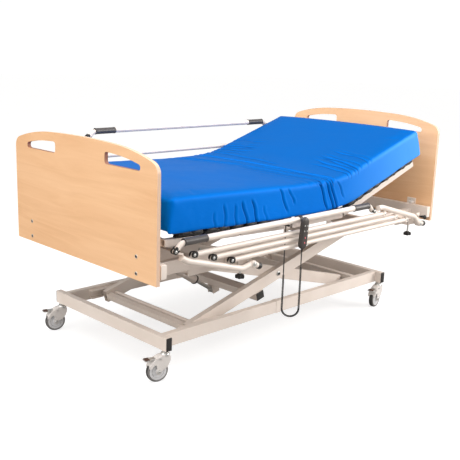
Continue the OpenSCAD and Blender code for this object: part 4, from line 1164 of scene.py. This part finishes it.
def crown_sheet(at, cheek):
    """The curved sheet over the wheel that joins the cheeks."""
    line = [(0.0165, 0.1195), (0.008, 0.1225), (-0.010, 0.1235), (-0.030, 0.1200), (-0.050, 0.1105), (-0.068, 0.0955),
            (-0.079, 0.080), (-0.081, 0.070)]
    across = 8
    verts, faces = [], []
    for inset in (0.0, 0.0022):
        for u, h in line:
            for j in range(across + 1):
                w = (cheek - 0.003) * (2 * j / across - 1)
                rise = 0.0030 * (1 - (w / cheek) ** 2)
                verts.append(at(u * 0.985 - 0.0002, h + rise - inset - 0.0012, w))
    row = across + 1
    half = len(line) * row
    for i in range(len(line) - 1):
        for j in range(across):
            a = i * row + j
            faces.append((a, a + 1, a + row + 1, a + row))
            faces.append((half + a, half + a + row, half + a + row + 1, half + a + 1))
    rim = [i * row for i in range(len(line))] + [(len(line) - 1) * row + j for j in range(1, row)]
    rim += [i * row + across for i in range(len(line) - 2, -1, -1)] + [j for j in range(across - 1, 0, -1)]
    for a, b in zip(rim, rim[1:] + rim[:1]):
        faces.append((a, b, half + b, half + a))
    return verts, faces


def build_wheel(name, axle, side):
    """A narrow dark tread, grey side walls and a flat grey hub disc with turned rings."""
    body = f"wheel_{name}"
    r = 0.0499
    tread = [(0.0470, -0.0098), (0.0490, -0.0090), (r, -0.0062), (r, 0.0062), (0.0490, 0.0090), (0.0470, 0.0098)]
    finish(joined(f"castor_tread_{name}", [lathe(tread, side, axle, 80)], TREAD, 60), body, "castor_tyre",
           f"castor_wheel_{name}")
    wall = [(0.0400, -0.0125), (0.0440, -0.0134), (0.0470, -0.0122), (0.0484, -0.0098), (0.0484, 0.0098),
            (0.0470, 0.0122), (0.0440, 0.0134), (0.0400, 0.0125)]
    finish(joined(f"castor_tyre_{name}", [lathe(wall, side, axle, 80)], TYRE, 60), body, "castor_tyre")
    face = [(0.0051, 0.0150), (0.0115, 0.0150), (0.0130, 0.0142), (0.0135, 0.0130), (0.0270, 0.0130),
            (0.0276, 0.0124), (0.0284, 0.0124), (0.0290, 0.0131), (0.0385, 0.0134), (0.0400, 0.0126), (0.0405, 0.0100)]
    hub = [(u, -w) for u, w in face] + face[::-1]
    finish(joined(f"castor_hub_{name}", [lathe(hub, side, axle, 72)], HUB, 35), body, "castor_tyre")


def build_pedal(name, pivot, trail, side):
    """A brake pedal: hub, pressed lever that widens to a tread, and a ribbed pad."""
    body = f"pedal_{name}"
    z = Vector((0, 0, 1))
    outline = [(-0.004, -0.0115), (0.030, -0.0120), (0.046, -0.0185), (0.066, -0.0195), (0.070, -0.0160),
               (0.0705, 0.0160), (0.066, 0.0195), (0.046, 0.0185), (0.030, 0.0120), (-0.004, 0.0115)]
    verts, faces = [], []
    n = len(outline)
    for level in (-0.0018, 0.0018):
        for u, w in outline:
            drop = 0.0 if u < 0.03 else 0.003 * (u - 0.03) / 0.04
            verts.append(pivot + trail * u + side * w + z * (level - drop))
    faces.append(tuple(range(n)))
    faces.append(tuple(range(n, 2 * n)))
    faces += [(i, (i + 1) % n, n + (i + 1) % n, n + i) for i in range(n)]
    hub = lathe([(0.0041, -0.012), (0.0068, -0.012), (0.0068, 0.012), (0.0041, 0.012)], side, pivot, 28)
    lever = joined(f"castor_lever_{name}", [(verts, faces), hub], ZINC, 40)
    bevelled(lever, 0.0008, 2, 50)
    finish(lever, body, "zinc_steel", f"castor_pedal_{name}")
    turn = Matrix((trail, side, trail.cross(side))).transposed()
    pads = []
    for k in range(4):
        centre = pivot + trail * (0.0495 + 0.0052 * k) + z * 0.0008
        pads.append(rounded_box((0.0042, 0.030, 0.0040), 0.0012, centre, turn, 2))
    finish(joined(f"castor_pad_{name}", pads, PAD), body, "black_rubber")


# ---------------------------------------------------------------- handset and cable

HANDSET_AT = Vector((-0.176, -0.582, 0.676))
HANDSET_LEAN = math.radians(5.5)
KEYS = {"back_up": (-0.010, -0.042), "back_down": (0.010, -0.042), "legs_up": (-0.010, -0.067),
        "legs_down": (0.010, -0.067), "bed_up": (0, -0.099), "bed_down": (0, -0.123)}


def at_handset(x, y, z):
    """A point of the handset's own frame: x across its face, y out of its back, z up its length."""
    turn = Matrix.Rotation(HANDSET_LEAN, 3, "Y")
    return HANDSET_AT + turn @ Vector((x, y, z))


def build_handset():
    levels, around = 30, 44
    verts, faces = [], []
    length, round_end = 0.153, 0.024
    for i in range(levels + 1):
        z = -0.0015 - length * (0.5 - 0.5 * math.cos(math.pi * i / levels))
        widest = 0.0235 + 0.0022 * min(1, max(0, (-z - 0.03) / 0.10))
        to_end = min(-z - 0.0015, length + 0.0015 + z)
        end = math.sqrt(max(0.0, 1 - (1 - to_end / round_end) ** 2)) if to_end < round_end else 1.0
        half_w = max(0.0008, widest * end)
        half_d = 0.0120 * (0.35 + 0.65 * end)
        for k in range(around):
            a = 2 * math.pi * k / around
            c, s = math.cos(a), math.sin(a)
            power = 2 / 3.2
            x = half_w * math.copysign(abs(c) ** power, c)
            y = half_d * math.copysign(abs(s) ** power, s)
            verts.append(at_handset(x, y, z))
        if i:
            for k in range(around):
                after = (k + 1) % around
                faces.append(((i - 1) * around + k, (i - 1) * around + after, i * around + after, i * around + k))
    faces.append(tuple(range(around)))
    faces.append(tuple(range(len(verts) - around, len(verts))))
    shell = (verts, faces)
    rail = place("near_handrail_level") + Vector((0, 0, ELBOW[1]))
    hook = []
    for i in range(15):
        a = math.radians(-200 + 215 * i / 14)
        hook.append(Vector((HANDSET_AT.x, rail.y, rail.z)) + Vector((0, math.cos(a), -math.sin(a))) * 0.0172)
    width, thick = 0.009, 0.0022
    hook_verts, hook_faces = [], []
    for i, p in enumerate(hook):
        out = (p - Vector((HANDSET_AT.x, rail.y, rail.z))).normalized()
        for u, w in ((-1, -1), (1, -1), (1, 1), (-1, 1)):
            hook_verts.append(p + Vector((u * width, 0, 0)) + out * (w * thick))
        if i:
            for k in range(4):
                after = (k + 1) % 4
                hook_faces.append(((i - 1) * 4 + k, (i - 1) * 4 + after, i * 4 + after, i * 4 + k))
    hook_faces.append((0, 1, 2, 3))
    hook_faces.append(tuple(range(len(hook_verts) - 4, len(hook_verts))))
    link = rounded_box((0.018, 0.010, 0.022), 0.003, Vector((HANDSET_AT.x, -0.568, rail.z - 0.004)))
    relief = lathe([(0.0065, 0), (0.0065, 0.004), (0.0055, 0.005), (0.0060, 0.008), (0.0048, 0.009), (0.0052, 0.012),
                    (0.0040, 0.013), (0.0040, 0.016), (0, 0.016)], Vector((0, 0, -1)), at_handset(0, 0, -0.151), 24)
    body = joined("handset_shell", [shell, (hook_verts, hook_faces), link, relief], HANDSET, 55)
    bevelled(body, 0.0008, 2, 60)
    finish(body, "near_handrail", "grey_plastic", "handset")
    face = []
    for x, z in KEYS.values():
        face.append(lathe([(0.0050, 0), (0.0058, 0.0), (0.0058, 0.0008), (0.0050, 0.0008)], Vector((0, -1, 0)),
                          at_handset(x, -0.0116, z), 28))
    finish(joined("handset_key_rings", face, BLACK), "near_handrail", "grey_plastic")
    for key, (x, z) in KEYS.items():
        red = key.startswith("bed")
        verts, faces = lathe([(0.0046, -0.003), (0.0046, 0.0006), (0.0040, 0.0014), (0.0024, 0.0019), (0, 0.0021)],
                             Vector((0, -1, 0)), Vector((0, 0, 0)), 28)
        centre = at_handset(x, -0.0114, z)
        shaped = [centre + Vector((v.x * (0.8 if red else 0.85), v.y, v.z * (1.15 if red else 0.85))) for v in verts]
        finish(joined(f"key_{key}", [(shaped, faces)], KEY_RED if red else KEY_LIGHT, 60), f"button_{key}",
               "button_red" if red else "button_grey", f"handset_button_{key}")


def build_cable():
    """Straight run, coiled loop and thin run back up behind the bars."""
    x0, y0 = HANDSET_AT.x - 0.015, HANDSET_AT.y
    x1, y1 = HANDSET_AT.x - 0.075, -0.527
    drop = 0.185
    top_z = 0.512
    start_coil, end_coil = 0.440, 0.400

    def hang(t):
        """Centre line from the handset (t 0) to the clip (t 1)."""
        down, turn, back = top_z - drop - 0.040, math.pi * 0.045, 0.636 - drop - 0.040
        total = down + turn + back
        d = t * total
        if d < down:
            return Vector((x0, y0, top_z - d))
        if d < down + turn:
            a = (d - down) / turn * math.pi
            f = (1 - math.cos(a)) / 2
            return Vector((x0 + (x1 - x0) * f, y0 + (y1 - y0) * f, drop + 0.040 - 0.040 * math.sin(a)))
        return Vector((x1, y1, drop + 0.040 + d - down - turn))

    parts = []
    samples = 160
    line = [hang(i / samples) for i in range(samples + 1)]
    first = next(i for i, p in enumerate(line) if p.z < start_coil)
    last = next(i for i in range(samples, 0, -1) if line[i].z < end_coil)
    lead = [at_handset(0, 0, -0.158), at_handset(0, 0, -0.163)] + line[4:first + 1]
    parts.append(sweep(lead, 0.0026, 12))
    parts.append(sweep(line[last:], 0.0026, 12))
    coil = []
    turns_per_sample = 1.15
    per_turn = 9
    centre = line[first:last + 1]
    steps = int((len(centre) - 1) * turns_per_sample * per_turn)
    for i in range(steps + 1):
        f = i / steps * (len(centre) - 1)
        k = min(int(f), len(centre) - 2)
        p = centre[k].lerp(centre[k + 1], f - k)
        tangent = (centre[min(k + 2, len(centre) - 1)] - centre[max(k - 1, 0)]).normalized()
        side = Vector((0.2, 1, 0)).cross(tangent).normalized()
        other = tangent.cross(side)
        a = 2 * math.pi * i / per_turn
        ease = min(1, i / 20, (steps - i) / 20)
        coil.append(p + (side * math.cos(a) + other * math.sin(a)) * (0.0036 * ease))
    parts.append(sweep(coil, 0.0018, 7))
    parts.append(rounded_box((0.012, 0.028, 0.008), 0.0015, Vector((x1, -0.536, 0.6366))))
    finish(joined("handset_coil_cable", parts, BLACK, 60), "near_handrail", "black_rubber", "handset_cable")


# ---------------------------------------------------------------- lift

def build_lift_details():
    """Pivot bolts, roller faces and pivot nuts of the scissor lift."""
    y = Vector((0, 1, 0))
    middle = place("lift_cross")
    parts = []
    for s in (-1, 1):
        out = y * s
        parts.append(lathe([(0.008, -0.080), (0.008, 0.0)], out, middle + out * 0.338, 24))
        parts.append(lathe(rounded_profile(0.0135, 0.0020, 0.0006), out, middle + out * 0.332, 32))
        parts.append(hexagon(0.019, 0.0040, middle + out * 0.334, out))
        parts.append(hexagon(0.019, 0.0065, middle + out * 0.268, -out))
    finish(joined("lift_bolts", parts, ZINC), "outer_arms", "zinc_steel", "lift_pivot_bolts")
    for name, body, offset in (("lower_rollers", "lower_rollers", 0.347), ("upper_rollers", "upper_rollers", 0.374)):
        low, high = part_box(name)
        centre = Vector(((low.x + high.x) / 2, 0, (low.z + high.z) / 2))
        rolls = []
        for s in (-1, 1):
            profile = [(0.0101, -0.009), (0.0125, -0.009), (0.0135, -0.0075), (0.0145, -0.0088), (0.0160, -0.0070),
                       (0.0160, 0.0070), (0.0145, 0.0088), (0.0135, 0.0075), (0.0125, 0.009), (0.0101, 0.009)]
            rolls.append(lathe(profile, y, centre + y * (s * offset), 48))
        finish(joined(f"{name}_nylon", rolls, BLACK, 30), body, "black_rubber", name)
    # Nuts on the four end pivots
    ends = []
    for s in (-1, 1):
        pivot = place("bed_lift") + y * (s * 0.2575)
        ends.append(hexagon(0.017, 0.006, pivot, -y * s))
    finish(joined("lower_pivot_nuts", ends, ZINC), "base", "zinc_steel")
    upper = []
    for s in (-1, 1):
        pivot = place("lift_level") + y * (s * 0.2995)
        upper.append(hexagon(0.017, 0.006, pivot, -y * s))
    finish(joined("upper_pivot_nuts", upper, ZINC), "upper_frame", "zinc_steel")


def drive_axes():
    """The lift motor's line: from the rod's eye to the motor's rear pivot."""
    eye = place("motor_rod_swing")
    rear = Vector((-0.690, 0, 0.478))
    run = (rear - eye)
    return eye, run.normalized(), run.length


def build_motor():
    eye, run, length = drive_axes()
    y = Vector((0, 1, 0))
    across = y.cross(run).normalized()
    turn = Matrix((across, y, run)).transposed()
    if turn.determinant() < 0:
        turn = Matrix((-across, y, run)).transposed()
    at = lambda d: eye + run * d
    tube = [(0.0101, 0.150), (0.0215, 0.150), (0.0225, 0.152), (0.0225, 0.470), (0.0101, 0.470)]
    parts = [lathe(tube, run, eye, 40)]
    parts.append(rounded_box((0.056, 0.056, 0.084), 0.012, at(length - 0.068), turn, 4))
    sideways = turn @ Vector((0.063, 0, 0))
    motor_centre = at(length - 0.075) + sideways
    if not in_box(motor_centre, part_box("lift_motor")):
        motor_centre = at(length - 0.075) - sideways
    parts.append(rounded_box((0.070, 0.048, 0.066), 0.016, motor_centre, turn, 4))
    parts.append(rounded_box((0.028, 0.026, 0.040), 0.005, at(length - 0.014), turn, 3))
    finish(joined("lift_motor_housing", parts, CREAM, 40), "motor_body", "cream_steel", "lift_motor")
    ring = lathe([(0.0225, 0.1500), (0.0245, 0.1505), (0.0250, 0.1520), (0.0250, 0.1570), (0.0245, 0.1585),
                  (0.0225, 0.1590)], run, eye, 40)
    scraper = lathe([(0.0102, 0.1445), (0.0160, 0.1445), (0.0225, 0.147), (0.0225, 0.150), (0.0102, 0.150)], run,
                    eye, 40)
    pin = lathe([(0.0058, -0.030), (0.0058, 0.030)], y, at(length), 20)
    finish(joined("lift_motor_ring", [ring], GREY, 40), "motor_body", "grey_plastic")
    finish(joined("lift_motor_scraper", [scraper], CREAM, 40), "motor_body", "cream_steel")
    finish(joined("lift_motor_pin", [pin], ZINC, 40), "motor_body", "zinc_steel")
    rod = [(0, 0.012), (0.0095, 0.012), (0.0100, 0.014), (0.0100, 0.330), (0, 0.330)]
    clevis = lathe([(0.0081, -0.013), (0.0150, -0.013), (0.0150, 0.013), (0.0081, 0.013)], y, eye, 36)
    nut = lathe([(0.010, 0.014), (0.0125, 0.014), (0.0125, 0.026), (0.010, 0.026)], run, eye, 6)
    finish(joined("lift_motor_spindle", [lathe(rod, run, eye, 32), clevis, nut], ZINC, 40), "motor_rod", "zinc_steel",
           "lift_motor_rod")


def in_box(point, box):
    return all(low - 1e-4 <= c <= high + 1e-4 for low, c, high in zip(box[0], point, box[1]))


def build_section_drive():
    """The closed drive under the seat: a ribbed housing with two end saddles round the hinge tubes."""
    x0, x1 = THIGH_HINGE.x - 0.024, BACK_HINGE.x + 0.024
    parts = []
    for s in (-1, 1):
        parts.append(rounded_box((x1 - x0, 0.038, 0.082), 0.008, ((x0 + x1) / 2, s * 0.031, 0.553)))
        for hinge in (THIGH_HINGE.x, BACK_HINGE.x):
            outline = arc(0, 0.002, 0.016, 0, 180, 12) + [(-0.016, -0.026), (0.016, -0.026)]
            parts.append(plate(outline, 0.008, (hinge, s * 0.036, 0.615), (1, 0, 0), (0, 0, 1), (0, 1, 0)))
    middle = rounded_box((x1 - x0 - 0.114, 0.030, 0.074), 0.006, ((x0 + x1) / 2, 0, 0.553))
    parts.append(middle)
    parts.append(rounded_box((0.150, 0.045, 0.060), 0.010, (x0 + 0.135, 0.0725, 0.550), None, 4))
    for i in range(7):
        parts.append(rounded_box((0.004, 0.104, 0.070), 0.0015, (x0 + 0.075 + i * 0.045, 0, 0.553)))
    finish(joined("section_drive_housing", parts, GREY, 40), "upper_frame", "grey_plastic", "section_drive")


# ---------------------------------------------------------------- frame details

def build_frame_details():
    """Plastic caps, socket rings and the lever plugs."""
    def cap(centre, size, radius=0.003):
        return rounded_box(size, radius, centre, None, 3)

    caps = []
    low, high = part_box("base_frame")
    for sx in (low.x + 0.015, high.x - 0.015):
        for s in (-1, 1):
            caps.append(cap((sx, s * 0.4366, 0.171), (0.0308, 0.0042, 0.0608), 0.002))
    finish(joined("base_caps", caps, BLACK), "base", "black_rubber", "base_end_caps")
    caps = []
    for sx in (-1, 1):
        for s in (-1, 1):
            caps.append(cap((sx * (1.022 - 0.007 - 0.015), s * 0.5366, 0.544), (0.0308, 0.0044, 0.0608), 0.002))
    finish(joined("frame_caps", caps, CREAM), "upper_frame", "cream_steel")
    rings = []
    for s in (-1, 1):
        rings.append(lathe([(0.0101, -0.002), (0.0101, 0.0022), (0.0112, 0.0034), (0.0128, 0.0036), (0.0142, 0.0024),
                            (0.0144, 0.0004), (0.0138, -0.004), (0.0131, -0.005)], (0, 0, 1),
                           Vector((1.000, s * 0.419, 0.5876)), 48))
    finish(joined("socket_rings", rings, PALE, 50), "upper_frame", "zinc_steel")
    plugs = []
    centre = place("lift_cross")
    lean = math.radians(15)
    u, w = Vector((math.cos(lean), 0, math.sin(lean))), Vector((-math.sin(lean), 0, math.cos(lean)))
    turn = Matrix((u, Vector((0, 1, 0)), w)).transposed()
    for s in (-1, 1):
        middle = centre + u * -0.155 + w * -0.050 + Vector((0, s * 0.3385, 0))
        plugs.append(rounded_box((0.0508, 0.0046, 0.0408), 0.002, middle, turn, 3))
    finish(joined("lever_plugs", plugs, BLACK), "outer_arms", "black_rubber")


def paint_frame():
    """Materials of the CAD nodes that stay."""
    painted = ("base_frame", "upper_frame", "lift_arms_outer", "lift_arms_inner", "back_frame", "thigh_frame",
               "calf_frame")
    for name in painted:
        NODES[name].data.materials.clear()
        NODES[name].data.materials.append(CREAM)


# ---------------------------------------------------------------- scene

def build_stage():
    """A white sweep, a large softbox overhead, a strong one at the right and a weak one at the left."""
    floor = mesh_object("floor", [(-30, -30, 0), (30, -30, 0), (30, 30, 0), (-30, 30, 0)], [(0, 1, 2, 3)],
                        floor_material())
    world = bpy.data.worlds.new("studio")
    bpy.context.scene.world = world
    world.use_nodes = True
    tree = world.node_tree
    background = tree.nodes["Background"]
    background.inputs["Color"].default_value = (1.0, 0.99, 0.98, 1)
    # The surroundings glow more from the foot end; the camera sees plain white
    split = tree.nodes.new("ShaderNodeSeparateXYZ")
    tree.links.new(tree.nodes.new("ShaderNodeTexCoord").outputs["Generated"], split.inputs[0])
    glow = tree.nodes.new("ShaderNodeMapRange")
    for key, value in zip(("From Min", "From Max", "To Min", "To Max"), (-1.0, 0.1, 1.45, 0.40)):
        glow.inputs[key].default_value = value
    tree.links.new(split.outputs["X"], glow.inputs["Value"])
    strength = tree.nodes.new("ShaderNodeMapRange")
    strength.inputs["To Max"].default_value = 1.05
    tree.links.new(glow.outputs["Result"], strength.inputs["To Min"])
    tree.links.new(tree.nodes.new("ShaderNodeLightPath").outputs["Is Camera Ray"], strength.inputs["Value"])
    tree.links.new(strength.outputs["Result"], background.inputs["Strength"])
    lights = [
        ("overhead", (-0.8, -0.3, 3.5), 3.4, 128, (1.0, 0.985, 0.97)),
        ("right", (3.1, -3.0, 2.0), 2.2, 165, (1.0, 0.97, 0.95)),
        ("left", (-5.2, 0.3, 2.4), 2.6, 45, (1.0, 0.93, 0.86)),
    ]
    for name, at, size, power, colour in lights:
        data = bpy.data.lights.new(name, "AREA")
        data.size = size
        data.energy = power
        data.color = colour
        lamp = bpy.data.objects.new(name, data)
        bpy.context.scene.collection.objects.link(lamp)
        lamp.location = at
        lamp.rotation_mode = "QUATERNION"
        lamp.rotation_quaternion = (Vector((0, 0, 0.55)) - Vector(at)).to_track_quat("-Z", "Y")


def floor_material():
    """White to the camera with a faint shadow, but a mid grey to the light it bounces."""
    s = Shader("studio_floor")
    seen = s.node("ShaderNodeLightPath").outputs["Is Camera Ray"]
    cloud = s.level(s.noise(1.5, 2), 0.3, 0.7, 0, 1)
    bounced = s.mix(cloud, (0.34, 0.33, 0.32), (0.36, 0.35, 0.34))
    tone = s.mix(seen, bounced, (0.42, 0.42, 0.42))
    return s.set(Base_Color=tone, Roughness=0.95, Specular_IOR_Level=0.1, Emission_Color=(1.0, 1.0, 1.0),
                 Emission_Strength=s.math("MULTIPLY", seen, 0.72))


def build_camera():
    """The picture's viewpoint: 45 degrees round to the foot end, a little above the bed, slightly rolled."""
    yaw, pitch, roll = math.radians(45.0), math.radians(13.28), math.radians(1.94)
    forward = Vector((math.sin(yaw) * math.cos(pitch), math.cos(yaw) * math.cos(pitch), -math.sin(pitch)))
    flat = Vector((math.cos(yaw), -math.sin(yaw), 0))
    lift = flat.cross(forward)
    right = flat * math.cos(roll) + lift * math.sin(roll)
    up = lift * math.cos(roll) - flat * math.sin(roll)
    data = bpy.data.cameras.new("camera")
    data.lens = 59.67
    data.sensor_width = 36.0
    camera = bpy.data.objects.new("camera", data)
    bpy.context.scene.collection.objects.link(camera)
    turn = Matrix((right, up, -forward)).transposed().to_4x4()
    camera.matrix_world = Matrix.Translation((-2.9024, -2.8091, 1.4265)) @ turn
    bpy.context.scene.camera = camera


bpy.context.scene.view_settings.view_transform = "Standard"
build_stage()
build_camera()
paint_frame()
dress_boards()
build_board_bolts()
build_slats()
build_posts()
build_bars()
build_handrails()
build_clamps()
build_latches()
build_castors()
build_handset()
build_cable()
build_lift_details()
build_motor()
build_section_drive()
build_frame_details()
build_mattress()
